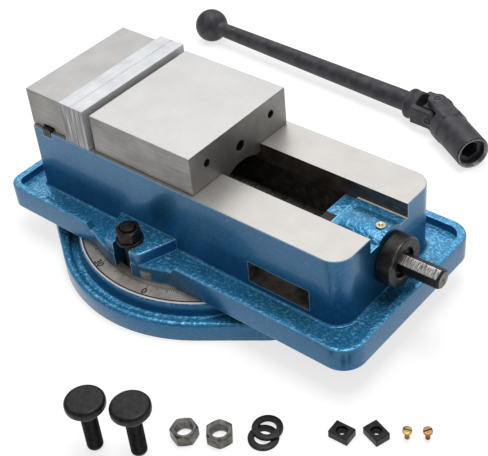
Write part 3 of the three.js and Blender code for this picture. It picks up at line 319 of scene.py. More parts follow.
def lofted(outline, levels):
    """A solid from a flat outline: each level (height, inset) is the outline drawn in by inset
    towards its middle, and both ends are closed onto the middle."""
    outline = np.array(outline, float)
    middle = outline.mean(0)
    spread = outline - middle
    reach = np.linalg.norm(spread, axis=1, keepdims=True)
    rows = [np.column_stack([middle + spread * (1 - inset / reach), np.full(len(outline), height)])
            for height, inset in levels]
    ends = [np.tile([*middle, height], (len(outline), 1)) for height in (levels[0][0], levels[-1][0])]
    return np.stack([ends[0], *rows, ends[1]])


def set_at(stack, origin=(0, 0, 0), heading=0.0, axis="z"):
    """Turns a surface drawn about Z so that Z points along axis, then by heading degrees about Z,
    and moves it to origin."""
    if axis == "x":
        stack = stack[..., [2, 0, 1]]
    elif axis == "y":
        stack = stack[..., [1, 2, 0]]
    cos, sin = math.cos(math.radians(heading)), math.sin(math.radians(heading))
    spin = np.array([[cos, sin, 0], [-sin, cos, 0], [0, 0, 1]])
    return stack @ spin + np.array(origin, float)


def on_screw(stack):
    """Sets a surface drawn about Z on the lead screw's axis, its Z along X."""
    return set_at(stack, (0, 0, AXIS_Z), axis="x")


def tidied(mesh):
    """Merges a mesh's doubles and turns every face outwards."""
    gap = 0.002 * MM
    work = bmesh.new()
    work.from_mesh(mesh)
    bmesh.ops.remove_doubles(work, verts=work.verts, dist=gap)
    bmesh.ops.dissolve_degenerate(work, dist=gap / 4, edges=work.edges)
    bmesh.ops.recalc_face_normals(work, faces=work.faces)
    work.to_mesh(mesh)
    work.free()
    return mesh


def linked(name, data):
    """A new object in the scene."""
    made = bpy.data.objects.new(name, data)
    bpy.context.scene.collection.objects.link(made)
    return made


def evaluated_mesh(made):
    """A mesh of an object as its modifiers or its letters leave it."""
    bpy.context.view_layer.update()
    return bpy.data.meshes.new_from_object(made.evaluated_get(bpy.context.evaluated_depsgraph_get()))


def show(name, mesh, body, nodes=(), sharp=None):
    """Links a finished mesh as a piece that rides on body and stands for nodes. sharp is the angle
    in degrees from which its edges stay sharp in smooth shading."""
    if sharp:
        mesh.shade_smooth()
        mesh.set_sharp_from_angle(angle=math.radians(sharp))
    made = linked(name, mesh)
    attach(made, body)
    if nodes:
        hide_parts(*nodes)
    return made


def built(name, parts):
    """A mesh in metres from surfaces in millimetres. parts lists (surface, material) or (surface,
    material, ring), where a surface is rows of points, or points and their quads."""
    mesh = bpy.data.meshes.new(name)
    points, quads, paints, first = [], [], [], 0
    for surface, material, *rest in parts:
        if material.name not in mesh.materials:
            mesh.materials.append(material)
        where, faces = surface if isinstance(surface, tuple) else skin(surface, *rest)
        points.append(where * MM)
        quads.append(faces + first)
        paints.append(np.full(len(faces), mesh.materials.find(material.name)))
        first += len(where)
    mesh.from_pydata(np.concatenate(points), [], np.concatenate(quads))
    mesh.polygons.foreach_set("material_index", np.concatenate(paints))
    return tidied(mesh)


def piece(name, parts, body, nodes=()):
    """A piece from surfaces."""
    show(name, built(name, parts), body, nodes, 30)


def worked(name, parts, steps, voxel=0, rounds=0):
    """A mesh from surfaces that is first wrapped in one relaxed skin, where voxel gives its grid in
    millimetres, and then joined with or cut by each step in turn: (operation, parts)."""
    tools = [linked(f"{name}_tool_{i}", built(f"{name}_tool_{i}", made))
             for i, made in enumerate([parts, *(made for _, made in steps)])]
    rough = tools[0]
    if voxel:
        wrap = rough.modifiers.new("wrap", "REMESH")
        wrap.mode, wrap.voxel_size = "VOXEL", voxel * MM
        relax = rough.modifiers.new("relax", "SMOOTH")
        relax.factor, relax.iterations = 0.5, rounds
    for (operation, _), tool in zip(steps, tools[1:]):
        step = rough.modifiers.new(tool.name, "BOOLEAN")
        step.operation, step.solver, step.object = operation, "EXACT", tool
        step.material_mode = "TRANSFER"
    mesh = evaluated_mesh(rough)
    mesh.name = name
    for tool in tools:
        bpy.data.objects.remove(tool)
    return mesh


def block(low, high, material, sides=None):
    """A box between two corners, as parts. sides is its walls' material, if it isn't the same."""
    (x0, y0, z0), (x1, y1, z1) = low, high
    stack = lofted([(x0, y0), (x1, y0), (x1, y1), (x0, y1)], [(z0, 0), (z1, 0)])
    return [(stack[:2], material), (stack[1:3], sides or material), (stack[2:], material)]


def bar(radius, low, high, material, origin=(0, 0, 0), axis="z", columns=48):
    """A round bar along an axis, as parts."""
    profile = [[0, low], [radius, low], [radius, high], [0, high]]
    return [(set_at(turned(profile, columns), origin, 0, axis), material)]


def painted(mesh, paints, paint=None):
    """Gives a mesh its materials. paint(middle, normal) gives each face its material's number."""
    mesh.materials.clear()
    for material in paints:
        mesh.materials.append(material)
    if paint:
        middle, normal = read(mesh.polygons, "center") / MM, read(mesh.polygons, "normal")
        mesh.polygons.foreach_set("material_index", paint(middle, normal).astype(np.int32))
    return mesh


def dressed(name, body, width, paints, paint=None):
    """A merged copy of a CAD node whose edges are rounded."""
    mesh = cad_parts[name].data.copy()
    mesh.name = name + "_shape"
    work = bmesh.new()
    work.from_mesh(mesh)
    bmesh.ops.remove_doubles(work, verts=work.verts, dist=0.001 * MM)
    bmesh.ops.dissolve_limit(work, angle_limit=math.radians(0.6), verts=work.verts, edges=work.edges)
    work.normal_update()
    corner = 28
    sharp = [edge.calc_face_angle(0) > math.radians(corner) for edge in work.edges]
    work.to_mesh(mesh)
    work.free()
    weight = mesh.attributes.new("bevel_weight_edge", "FLOAT", "EDGE")
    weight.data.foreach_set("value", np.array(sharp, np.float32))
    made = show(name + "_dressed", painted(mesh, paints, paint), body, [name], corner)
    rounding = made.modifiers.new("rounding", "BEVEL")
    rounding.width, rounding.segments = width * MM, 3
    rounding.limit_method = "WEIGHT"
    rounding.use_clamp_overlap = rounding.loop_slide = False
    rounding.harden_normals = True


# Castings


def quarter(radius, steps=5):
    """A quarter round: how far it goes in and how far it falls short, from start to end."""
    angle = np.linspace(0, pi / 2, steps)
    return np.column_stack([radius * (1 - np.cos(angle)), radius * (1 - np.sin(angle))])


BASE_COLUMNS = 240


def base_edge(inset, height):
    """The base's outline drawn in by inset, as its reach at even angles, and its height. It is the
    hull of the rim's circle and the four round ear corners."""
    corner, rim = EAR_CORNER - inset, RIM_RADIUS - inset
    tangent = math.atan2(EAR_Y, EAR_X) + math.acos((RIM_RADIUS - EAR_CORNER) / math.hypot(EAR_X, EAR_Y))
    points = np.vstack([[EAR_X + corner, 0], arc_points(corner, 0, tangent, 24, (EAR_X, EAR_Y)),
                        arc_points(rim, tangent, pi / 2, 40)])
    steps = np.linspace(0, 1, 12)[:-1, None]
    between = points[:-1, None] * (1 - steps) + points[1:, None] * steps
    points = np.vstack([between.reshape(-1, 2), points[-1]])
    turn, reach = np.arctan2(points[:, 1], points[:, 0]), np.hypot(*points.T)
    folded = np.abs((round_about(BASE_COLUMNS) + pi / 2) % pi - pi / 2)
    return np.interp(folded, turn, reach), height


def base_rows(levels):
    """Rows of the base's surface: each level is (reach, height), where the reach is a radius or the
    outline's reach at each angle."""
    return np.stack([round_points(reach, round_about(BASE_COLUMNS), height) for reach, height in levels])


rim_round, foot = quarter(4.0), quarter(2.2)
under = [(0, 0), (30, 0), (30, 6), (88, 6), (88, 0),
         base_edge(1.4, 0), base_edge(0.4, 0.4), base_edge(0, 1.4)]
cast = [base_edge(0, 1.4), *(base_edge(i, 23 - o) for i, o in rim_round),
        *((158 + o, 23 - i) for i, o in quarter(3.0)), *((158 - i, 17.5 + o) for i, o in foot),
        *((148.9 + o, 17.5 + i) for i, o in foot), (146.6, 29.6)]
base_parts = [
    (base_rows(under), bore_iron),
    (base_rows(cast), enamel),
    (base_rows([(146.6, 29.6), (146.4, 30.2), (145.1, 31.5)]), enamel),
    # The near-white bevel is a painted highlight
    (base_rows([(145.1, 31.5), (144.1, 32.5), (DISC_RADIUS, DISC_TOP)]), bevel_steel),
    (base_rows([(DISC_RADIUS, DISC_TOP), (117.16, DISC_TOP)]), scale_steel),
    (base_rows([(117.16, DISC_TOP), (117.16, 20), (123.66, 20), (123.66, 9), (93.66, 9), (93.66, 20),
                (100.16, 20), (100.16, DISC_TOP), (20.3, DISC_TOP), (20.3, 12), (0, 12)]), bore_iron),
]


def ear_slot(side):
    """The slot for a table bolt: a round root and a mouth open to the ear's end."""
    root = arc_points(9, pi / 2, 1.5 * pi, 20, (167, 0))
    outline = np.vstack([root, [[190, -9], [190, 9]]])
    return [(lofted(outline * [side, 1], [(-2, 0), (30, 0)]), enamel)]


# The ears' slots, two keyways with their screw holes, and the hole where a stud's head goes in
base_cuts = [ear_slot(1), ear_slot(-1),
             block((108, -8.2, -2), (146, 8.2, 5), bore_iron),
             block((-146, -8.2, -2), (-108, 8.2, 5), bore_iron),
             bar(2.1, 0, 9, bore_iron, (127, 0, 0)), bar(2.1, 0, 9, bore_iron, (-127, 0, 0)),
             bar(14.3, -2, 11, bore_iron, (*arc_points(CLAMP_CIRCLE, pi / 4, pi / 4, 1)[0], 0))]
base_mesh = worked("base_casting", base_parts, [("DIFFERENCE", made) for made in base_cuts])
show("base_casting", base_mesh, "base", ["swivel_base"], 32)


def rounded_loop(x0, x1, half, corner0, corner1):
    """A rounded rectangle's points, anticlockwise, with the same number on each stretch whatever its
    size, so that loops join point to point."""
    long, short = 150, 30

    def corner(x, y, radius, start):
        return arc_points(radius, start, start + pi / 2, 14, (x, y))[:-1]

    def run(start, end, count):
        share = np.linspace(0, 1, count)[:-1, None]
        return np.array(start) * (1 - share) + np.array(end) * share

    a, b = half - corner1, half - corner0
    return np.vstack([
        run((x1, -a), (x1, a), short), corner(x1 - corner1, a, corner1, 0),
        run((x1 - corner1, half), (x0 + corner0, half), long),
        corner(x0 + corner0, b, corner0, pi / 2),
        run((x0, b), (x0, -b), short), corner(x0 + corner0, -b, corner0, pi),
        run((x0 + corner0, -half), (x1 - corner1, -half), long),
        corner(x1 - corner1, -a, corner1, 1.5 * pi)])


def flange_row(inset, level, share=0):
    """A loop of the flange's outline drawn in by inset, at a level and a share of the rim's height
    above it. The rim runs out in its gap at the lugs."""
    loop = rounded_loop(FLANGE_START + inset, FLANGE_END - inset, FLANGE_HALF - inset,
                        max(19 - inset, 2), max(25 - inset, 2))
    rise = np.clip((np.abs(loop[:, 0] - LUG_X) - 58) / 9, 0, 1)
    return np.column_stack([loop, level + RIM_HIGH * rise * rise * (3 - 2 * rise) * share])


def wall_row(out, height):
    """A loop of the ways' outline drawn out by out."""
    loop = rounded_loop(BODY_START - out, BODY_END + out, WAYS_HALF + out,
                        max(4 + out, 1), max(21 + out, 1))
    return np.column_stack([loop, np.full(len(loop), height)])


centre = np.tile([33.0, 0, BODY_FOOT], (len(wall_row(0, 0)), 1))
# The rim's inner side, as insets and shares of its height
slope = (8.6, 1), (9.2, 0.97), (9.5, 0.9), (9.7, 0.22), (10.1, 0.09), (10.8, 0.02), (11.8, 0)
outside = [flange_row(0.8, BODY_FOOT), flange_row(0, 33.8),
           *(flange_row(i, CHANNEL - o, 1) for i, o in quarter(2.0)),
           *(flange_row(inset, CHANNEL, share) for inset, share in slope),
           wall_row(3.6, CHANNEL), wall_row(2.9, CHANNEL + 0.12)]
walls = [*(wall_row(o, CHANNEL + i) for i, o in quarter(3.6, 7)[1:]), wall_row(0, 90), wall_row(0, 133.5)]
# Pale enamel rows on the flange's rounded outer edge, the wall's foot and the ways' top edges: painted edge
# highlights
body_parts = [
    (np.stack([centre, outside[0]]), bore_iron),
    (np.stack(outside[:4]), enamel),
    (np.stack(outside[3:6]), worn_enamel),
    (np.stack(outside[5:]), enamel),
    (np.stack([outside[-1], walls[0]]), worn_enamel),
    (np.stack(walls), enamel),
    (np.stack([walls[-1], wall_row(-0.5, WAYS_TOP)]), worn_enamel),
    (np.stack([wall_row(-0.5, WAYS_TOP), wall_row(-20, WAYS_TOP),
               centre + [0, 0, WAYS_TOP - BODY_FOOT]]), way_iron),
]


def lug_parts(side):
    """A clamp lug: its plan narrows from the wall to a round-cornered front, and its top edge is
    rounded."""
    plan = np.array([(24.2, 123), (40.5, 80.2), (40.5, 60), (-40.5, 60), (-40.5, 80.2), (-24.2, 123)])
    soft = []
    softness = (5, 3, 0, 0, 3, 5)
    for before, here, after, radius in zip(np.roll(plan, 1, 0), plan, np.roll(plan, -1, 0), softness):
        into, out = [(end - here) / np.linalg.norm(end - here) for end in (before, after)]
        share = np.linspace(0, 1, 6)[:, None]
        start, end = here + into * radius, here + out * radius
        soft.append((1 - share) ** 2 * start + 2 * share * (1 - share) * here + share**2 * end
                    if radius else here[None])
    outline = np.vstack(soft) * [1, side] + [LUG_X, 0]
    levels = [(BODY_FOOT, 0.6), (33.6, 0), *((65.5 - o, i) for i, o in quarter(1.6))]
    stack = lofted(outline, levels)
    # The rounded top edge is pale enamel: a painted edge highlight
    return [(stack[:4], enamel), (stack[3:8], worn_enamel), (stack[7:], enamel)]


def stud_slot(side):
    """The open slot for a clamp stud: a half-round end about the stud, and parallel sides."""
    outline = np.vstack([arc_points(12, pi, TURN, 24), [[12, 40], [-12, 40]]])
    return [(lofted(outline * [1, side] + [LUG_X, side * STUD_Y], [(30, 0), (70, 0)]), enamel)]


pad = np.concatenate([part for part, _ in block((60, -6, BODY_FOOT), (125.1, 6, 44), index_steel)])
boss = turned([[0, 194], [33.2, 194], [34, 194.8], [34, 240.5], [33.2, 242.4], [31.5, BODY_END],
               [0, BODY_END]], 72)
skirt = turned([[0, BODY_FOOT], [124, BODY_FOOT], [SKIRT_RADIUS, 33.5], [SKIRT_RADIUS, 50],
                [123.4, CHANNEL], [0, CHANNEL]], 160)
body_adds = [
    [(set_at(skirt, (LUG_X, 0, 0)), enamel)],
    [(set_at(pad, (LUG_X, 0, 0), -76), index_steel)],
    lug_parts(-1), lug_parts(1),
]
# The slot and bay for the jaw's nut, then the ledge by the boss: near black on its near side as painted
# shadow, with a near-white strip along its far wall as a painted highlight
body_cuts = [
    block((BAY_START, -SLOT_HALF, 110), (BAY_END, SLOT_HALF, 140), slide_iron),
    block((BAY_START, -BAY_HALF, 45), (BAY_END, BAY_HALF, 112), bay_iron),
    block((166, 0, 113), (184, SLOT_HALF, 140), enamel, slide_iron),
    # Near black on the ledge's near half: painted shadow
    block((166, -SLOT_HALF, 113), (184, 0.5, 140), oily_iron, slide_iron),
    block((182, -SLOT_HALF, 117), (196, -15, 140), oily_iron, slide_iron),
    block((182, -15.5, 117), (196, SLOT_HALF, 140), enamel, slide_iron),
    block((195, -SLOT_HALF, 117), (250, SLOT_HALF, 140), enamel, slide_iron),
    # A thin near-white strip along the far wall: painted highlight
    block((184, SLOT_HALF - 2.2, 116.9), (250, SLOT_HALF, 140), bevel_steel, slide_iron),
]
# Bearing seats, stud slots, side windows, keyway, pivot and oiler holes, and the jaw's bolt holes
late_cuts = [
    bar(15, 160, 250, bore_iron, (0, 0, AXIS_Z), "x"),
    bar(19.7, 160, 188, bore_iron, (0, 0, AXIS_Z), "x"),
    stud_slot(-1), stud_slot(1),
    block((128, -84, 58), (204, -BAY_HALF + 0.01, 84), bay_iron),
    block((128, BAY_HALF - 0.01, 58), (204, 84, 84), bay_iron),
    block((-159.8, -84, 126.2), (-146.2, 84, 140), bore_iron),
    bar(20.3, 30, 46, bore_iron),
    bar(4.3, 116.7, 130, bore_iron, (OILER_X, 0, 0), columns=24),
    *(bar(r, z0, z1, bore_iron, (-133, side * 50, 0), columns=32)
      for side in (-1, 1) for r, z0, z1 in ((6.6, 30, 140), (9.6, 30, 107))),
]
body_steps = [*(("UNION", made) for made in body_adds), *(("DIFFERENCE", made) for made in body_cuts),
              ("UNION", [(on_screw(boss), boss_enamel)]),
              *(("DIFFERENCE", made) for made in late_cuts)]
body_mesh = worked("body_casting", body_parts, body_steps)
show("body_casting", body_mesh, "body", ["vise_body"], 32)


# Jaws


def jaw_paint(name):
    """Numbers a jaw's faces: 0 on its level outer faces, 1 on its sides and 2 inside its bores."""
    low, high = [np.array(corner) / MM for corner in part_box(name)]

    def paint(middle, normal):
        outer = ((np.abs(middle - low) < 0.3) | (np.abs(middle - high) < 0.3)).any(1)
        return np.where(outer, np.where(np.abs(normal[:, 2]) > 0.9, 0, 1), 2)

    return paint


def plate_paint(middle, normal):
    """1 on a plate's ends across Y, 2 on its broad faces across X and 0 on the others."""
    return np.where(np.abs(normal[:, 1]) > 0.9, 1, np.where(np.abs(normal[:, 0]) > 0.9, 2, 0))


# The jaws' sides take a darker milled iron: painted shade
for name, body, top in (("fixed_jaw", "body", dull_jaw_iron), ("movable_jaw", "jaw", jaw_iron)):
    dressed(name, body, 0.6, [top, side_iron, bore_iron], jaw_paint(name))
# The plates' faces across X take a lighter steel: painted light
for name, body in (("fixed_jaw_plate", "body"), ("movable_jaw_plate", "jaw")):
    dressed(name, body, 0.5, [plate_steel, plate_end_steel, plate_face_steel], plate_paint)
dressed("fixed_jaw_key", "body", 0.5, [key_steel])
dressed("jaw_nut", "jaw", 0.8, [screw_steel])


# Threads, nuts and bolts


def thread(radius, depth, pitch, low, high, columns=40, rows=6, left=False):
    """Rows of a vee thread: r = radius - depth * w, where w is a triangle wave of
    height / pitch minus (or, left-handed, plus) angle / turn. It fades out at both ends."""
    height = np.linspace(low, high, int((high - low) / pitch * rows) + 1)[:, None]
    angle = round_about(columns)
    phase = height / pitch + (1 if left else -1) * angle / TURN
    wave = 2 * np.abs(phase % 1 - 0.5)
    fade = np.clip(np.minimum(height - low, high - height) / pitch, 0, 1)
    reach = radius - depth * wave * fade
    return round_points(reach, angle, height)


def hexagon_reach(across, angle):
    """A hexagon's radius: half the flats over the cosine of the angle from a flat's middle."""
    return across / 2 / np.cos((angle + pi / 6) % (pi / 3) - pi / 6)


def chamfered_nut(bore):
    """A hexagon nut as one closed surface: a 30 degree cone takes off the hexagon's corners, and the
    bore is threaded. Returns the outside and the bore as two stacks that share their end rows."""
    columns = 48
    angle = round_about(columns)
    hexagon = hexagon_reach(NUT_ACROSS, angle)
    cone = NUT_ACROSS / 2 * 0.96
    drop = (hexagon - cone) * math.tan(math.radians(30))
    vee = 0.9
    mouth = bore + vee
    rows = [(mouth, 0), (cone, 0), (hexagon, drop), (hexagon, NUT_HIGH - drop), (cone, NUT_HIGH),
            (mouth, NUT_HIGH)]
    outside = np.stack([round_points(reach, angle, height) for reach, height in rows])
    inner = thread(bore, -vee, BOLT_PITCH, vee, NUT_HIGH - vee, columns)
    return outside, np.concatenate([outside[:1], inner, outside[-1:]])


def bolt_shank(radius, high, tip, pitch, thread_end, columns=40):
    """A round-tipped shank with a thread on its lower part, closed at its lower end."""
    nose = np.vstack([[0, 0], arc_points(tip, -pi / 2, 0, 5, (radius - tip, tip))])
    tapped = thread(radius, 0.95, pitch, tip, thread_end, columns)
    plain = turned([[radius, thread_end], [radius, high]], columns)
    return np.concatenate([turned(nose, columns), tapped, plain])


head = np.vstack([[BOLT_RADIUS, 56.0], [8.6, 56.0],
                  arc_points(2.8, -pi / 2, 0, 6, (16.8, 58.8)),
                  arc_points(3.8, 0, pi / 2, 6, (15.8, 62.0)), [0, 65.9]])
bolt = np.concatenate([bolt_shank(BOLT_RADIUS, 56.0, 3.6, BOLT_PITCH, 44.0), turned(head, 40)])
for number, (x, y) in enumerate([(109.3, -294.3), (148.1, -274.5)], 1):
    piece(f"t_bolt_{number}", [(set_at(bolt, (x, y, 0)), bolt_oxide)],
          "base", [f"table_bolt_{number}"])

outside, bore = chamfered_nut(8.4)
for number, (x, y, heading) in enumerate([(171.4, -236.4, 12), (200.1, -218.8, 40)], 1):
    piece(f"hexagon_nut_{number}", [(set_at(outside, (x, y, 0), heading), nut_steel),
          (set_at(bore, (x, y, 0), heading), thread_steel)], "base", [f"table_nut_{number}"])


def washer(hole, radius, thick):
    """A punched washer: a rounded outer edge above, a sharp one below."""
    return turned([[hole, 0], [radius, 0], [radius, thick - 0.6], [radius - 0.2, thick - 0.2],
                   [radius - 0.6, thick], [hole + 0.4, thick], [hole, thick - 0.4], [hole, 0]], 56)


for number, (x, y, z) in enumerate([(233.3, -195.1, 0), (230.7, -185.5, 3.1)], 1):
    piece(f"flat_washer_{number}", [(set_at(washer(*WASHER), (x, y, z)), bolt_oxide)],
          "base", [f"table_washer_{number}"])

for number in (1, 2):
    dressed(f"slot_key_{number}", "base", 0.9, [bolt_oxide])


def slotted_screw(radius, length, head, thick, slot, depth):
    """A cheese-head screw: a threaded shank, and above it a head whose slot leaves two half-round
    lands, each lofted from the outline cut by the slot's side."""
    shank = bolt_shank(radius, length, 0.8, 0.8, length - 1, 24)
    top = length + thick
    floor = top - depth
    disc = turned([[radius, length], [head - 0.2, length], [head, length + 0.2], [head, floor],
                   [0, floor]], 40)
    start = math.asin(slot / 2 / head)
    land = arc_points(head, start, pi - start, 24)
    levels = [(floor - 0.05, 0.0), (top - 0.4, 0.0), (top - 0.12, 0.1), (top, 0.4)]
    return shank, disc, *(lofted(land * side, levels) for side in (1, -1))


screw_parts = slotted_screw(radius=2.4, length=9.0, head=4.57, thick=3.0, slot=1.2, depth=1.4)
spots = [(341, -117, 20, brass), (356.6, -106.4, 60, red_brass)]
for number, (x, y, heading, metal) in enumerate(spots, 1):
    piece(f"slotted_screw_{number}", [(set_at(part, (x, y, 0), heading), metal) for part in screw_parts],
          "base", [f"key_screw_{number}"])

# Swivel clamps

seat, top, tip = 19.7, 84.0, 1.6
stud = np.concatenate([
    turned([[0, 9.7], [13, 9.7], [14, 10.7], [14, seat - 1], [13, seat], [BOLT_RADIUS, seat],
            [BOLT_RADIUS, 60]], 40),
    thread(BOLT_RADIUS, 0.95, BOLT_PITCH, 60, top - tip, 40),
    turned(arc_points(tip, 0, pi / 2, 6, (BOLT_RADIUS - tip, top - tip)), 40),
    turned([[5.2, top], [4.6, top - 0.5], [0, top - 0.3]], 40)])
outside, bore = chamfered_nut(8.3)
for side, near in ((-1, "near"), (1, "far")):
    y = side * STUD_Y
    piece(f"tee_stud_{near}", [(set_at(stud, (LUG_X, y, 0)), black_oxide)], "body",
          [f"clamp_stud_{near}"])
    piece(f"stud_washer_{near}", [(set_at(washer(*WASHER), (LUG_X, y, 65.8)), black_oxide)], "body",
          [f"clamp_washer_{near}"])
    piece(f"stud_nut_{near}", [(set_at(part, (LUG_X, y, 68.9)), clamp_oxide) for part in (outside, bore)],
          f"nut_{near}", [f"clamp_nut_{near}"])


# Screw and its collar


def hexagon_row(across, height, columns, trim=1.0):
    """One row of a hexagon section, its corners trimmed to a share of their reach."""
    angle = round_about(columns)
    reach = np.minimum(hexagon_reach(across, angle), across / math.sqrt(3) * trim)
    return round_points(reach, angle, height)[None]


columns, journal, flats = 48, 11.2, 19
worm = np.concatenate([
    turned([[0, -107], [11.6, -107], [12.4, -106]], columns),
    thread(13.9, 2.4, LEAD, -105.5, 165.5, columns, 5, left=True),
    turned([[journal, 167.5], [journal, 169.5], [18, 169.5], [18, 175], [journal, 175],
            [journal, 258]], columns)])
nose = np.concatenate([
    turned([[journal, 258]], columns), hexagon_row(flats, 258, columns, 0.98),
    hexagon_row(flats, 301.4, columns, 0.98), hexagon_row(flats, 303.0, columns, 0.94),
    turned([[8.6, 304]], columns)])
tip = turned([[8.6, 304], [1.9, 304], [0, 302.2]], columns)
# Every other flank of the hexagon gets light streaks: painted highlights
flank_columns = [(4 + 8 * flank + np.arange(9)) % columns for flank in range(6)]
piece("lead_screw_threaded", [
    (on_screw(worm), screw_steel), (on_screw(nose[:2]), black_oxide),
    *((on_screw(nose[1:3, those]), (black_oxide, hex_steel)[flank % 2], False)
      for flank, those in enumerate(flank_columns)),
    (on_screw(nose[2:]), black_oxide), (on_screw(tip), screw_steel)],
      "screw", ["lead_screw"])

low, high = 243.3, 261.3
ring = on_screw(turned([
    [11.5, low], [25.6, low], [27, low + 1.4], [27, high - 2.2], [26.6, high - 0.9], [25.4, high],
    [17.6, high], [16.2, high - 1], [16, high - 5], [11.5, high - 5], [11.5, low]], 72))
# The chamfer rows are a paler oxide: painted highlights
stretches = ((0, 4, black_oxide), (3, 6, oxide_worn), (5, 7, black_oxide), (6, 8, oxide_worn),
             (7, 11, black_oxide))
piece("bored_collar", [(ring[start:end], material) for start, end, material in stretches],
      "screw", ["screw_collar"])

# Ball oiler

seat = 124.3
cup = turned([[1, 117], [4, 117], [4, seat], [5.2, seat], [5.2, seat + 0.6], [4.9, seat + 1],
              [2.6, seat + 1], [2.1, seat + 0.7], [1.7, seat + 0.6], [1.7, seat + 0.5],
              [2.4, seat + 0.4], [2.4, 117.8], [1, 117.8], [1, 117]], 40)
piece("oil_cup", [(set_at(cup, (OILER_X, 0, 0)), pale_brass)], "body", ["oiler_cup"])

rise = np.linspace(-pi / 2, pi / 2, 13)[:, None]
ball = round_points(2 * np.cos(rise), round_about(24), 2 * np.sin(rise))
low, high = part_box("oiler_ball")
piece("oil_ball", [(set_at(ball, (OILER_X, 0, (low.z + high.z) / 2 / MM)), bright_steel)], "oiler",
      ["oiler_ball"])

# Crank handle, drawn about the centre of its universal joint

JOINT = (99.9, 317.3, 23.0)
ROD_HEADING, SOCKET_HEADING = -2.4, -31.2
PIN_TOP, YOKE_FLATS = 22.8, 13.4


def tine(half, root, low, high, across="z"):
    """A yoke's tine: a strip with a half-round end about the joint's centre, its root at root along X,
    lofted between low and high along the pin's axis with 1.2 mm round edges."""
    side = np.linspace(0, root, 8)[1:]
    outline = np.vstack([arc_points(half, pi / 2, 1.5 * pi, 24),
                         np.column_stack([side, np.full(7, -half)]),
                         np.column_stack([side[::-1], np.full(7, half)])])
    levels = [(low, 1.2), (low + 0.4, 0.4), (low + 1.2, 0), (high - 1.2, 0), (high - 0.4, 0.4), (high, 1.2)]
    if across == "z":
        return lofted(outline, levels)
    return set_at(lofted(outline[:, ::-1], levels), axis="y")


def in_handle(stack, heading):
    """Sets a surface at the joint, turned by heading degrees."""
    return set_at(stack, JOINT, heading)


neck = math.asin(10.4 / 23)
ball_round = arc_points(22.85, pi, neck + 0.06, 26, (-384, 0))[:, ::-1]
rod_profile = np.vstack([
    ball_round,
    [[9.8, -359.5], [9.8, -356], [10.0, -350], [11.6, -200], [13.0, -60], [13.0, -44], [14.6, -41.5],
     [18.6, -39.8], [19.4, -38.8], [19.4, -34.5], [17.8, -33.6], [17.8, -31.2], [19.0, -30.2],
     [19.0, -23.6], [18.0, -22.5], [0, -22.5]]])
rod_profile[0, 0] = 0
parts = [set_at(turned(rod_profile, 48), axis="x")]
for side in (1, -1):
    strip = tine(11.6, 26.0, *sorted((side * YOKE_FLATS, side * 21.8)), across="y")
    parts.append(strip * [-1, 1, 1])
parts = [(in_handle(part, ROD_HEADING), forging) for part in parts]
rod_mesh = worked("handle_rod_forged", parts, [], voxel=0.9, rounds=3)

barrel = turned([[0, 22.5], [20.6, 22.5], [22, 23.6], [22.2, 25], [22.2, 39.4], [21.0, 42.2], [20.9, 91.6],
                 [20.5, 93.2], [19.6, 94], [0, 94]], 64)
parts = [set_at(barrel, axis="x")]
parts += [tine(11.6, 39.0, *sorted((side * YOKE_FLATS, side * 22.0))) for side in (1, -1)]
hexagon = np.concatenate([turned([[0, 60]], 48), hexagon_row(19.8, 60, 48), hexagon_row(19.8, 96, 48),
                          turned([[0, 96]], 48)])
mouth = turned([[0, 84.5], [16, 84.5], [16, 91], [19.0, 95], [0, 95]], 56)
parts = [(in_handle(part, SOCKET_HEADING), forging) for part in parts]
cuts = [("DIFFERENCE", [(in_handle(set_at(part, axis="x"), SOCKET_HEADING), forging)])
        for part in (hexagon, mouth)]
socket_mesh = worked("handle_socket_forged", parts, cuts, voxel=0.9, rounds=3)


def socket_paint(middle, normal):
    """1 on the chamfer that is turned bright in the mouth."""
    away = middle - JOINT
    heading = math.radians(SOCKET_HEADING)
    along = away[:, 0] * math.cos(heading) + away[:, 1] * math.sin(heading)
    aside = -away[:, 0] * math.sin(heading) + away[:, 1] * math.cos(heading)
    reach = np.hypot(aside, away[:, 2])
    return np.where((along > 91.2) & (reach < 19.4) & (reach > 15.7), 1, 0)


show("handle_rod_forged", painted(rod_mesh, [forging]), "base", ["handle_rod"], 32)
painted(socket_mesh, [forging, forging_worn], socket_paint)
show("handle_socket_forged", socket_mesh, "socket", ["handle_socket"], 32)
dressed("handle_cross", "cross", 1.4, [forging])


def pin(low):
    """A joint pin from low to its end, which has a turned ring and a hollow where it shows."""
    radius = 4.8
    return turned([[0, low], [radius - 0.8, low], [radius, low + 0.8], [radius, PIN_TOP - 0.8],
                   [radius - 0.8, PIN_TOP], [radius - 1.6, PIN_TOP], [radius - 1.9, PIN_TOP - 0.5],
                   [1.4, PIN_TOP - 0.5], [0, PIN_TOP - 1.1]], 32)


for side, name in ((-1, "near"), (1, "far")):
    half_pin = set_at(pin(5.1), axis="y") * [1, side, 1]
    piece(f"joint_pin_{name}", [(in_handle(half_pin, ROD_HEADING), forging)], "cross",
          [f"handle_short_pin_{name}"])
halves = [(in_handle(pin(0)[1:] * [1, 1, side], ROD_HEADING), forging) for side in (1, -1)]
piece("joint_pin_long", halves, "cross", ["handle_long_pin"])
# The pins' burrs are shaped rings; their paler colour is a painted highlight
rolled = turned([[5.6, 21.5], [6.6, 21.5], [6.5, 22.0], [6.2, 22.15], [5.8, 22.1], [5.6, 21.5]], 40)
for side, name in ((1, "upper"), (-1, "lower")):
    piece(f"pin_burr_{name}", [(in_handle(rolled * [1, 1, side], SOCKET_HEADING), burr)], "socket")
for side, name in ((-1, "near"), (1, "far")):
    across = set_at(rolled - [0, 0, 0.2], axis="y") * [1, side, 1]
    piece(f"pin_burr_{name}", [(in_handle(across, ROD_HEADING), burr)], "base")

# Graduated scale


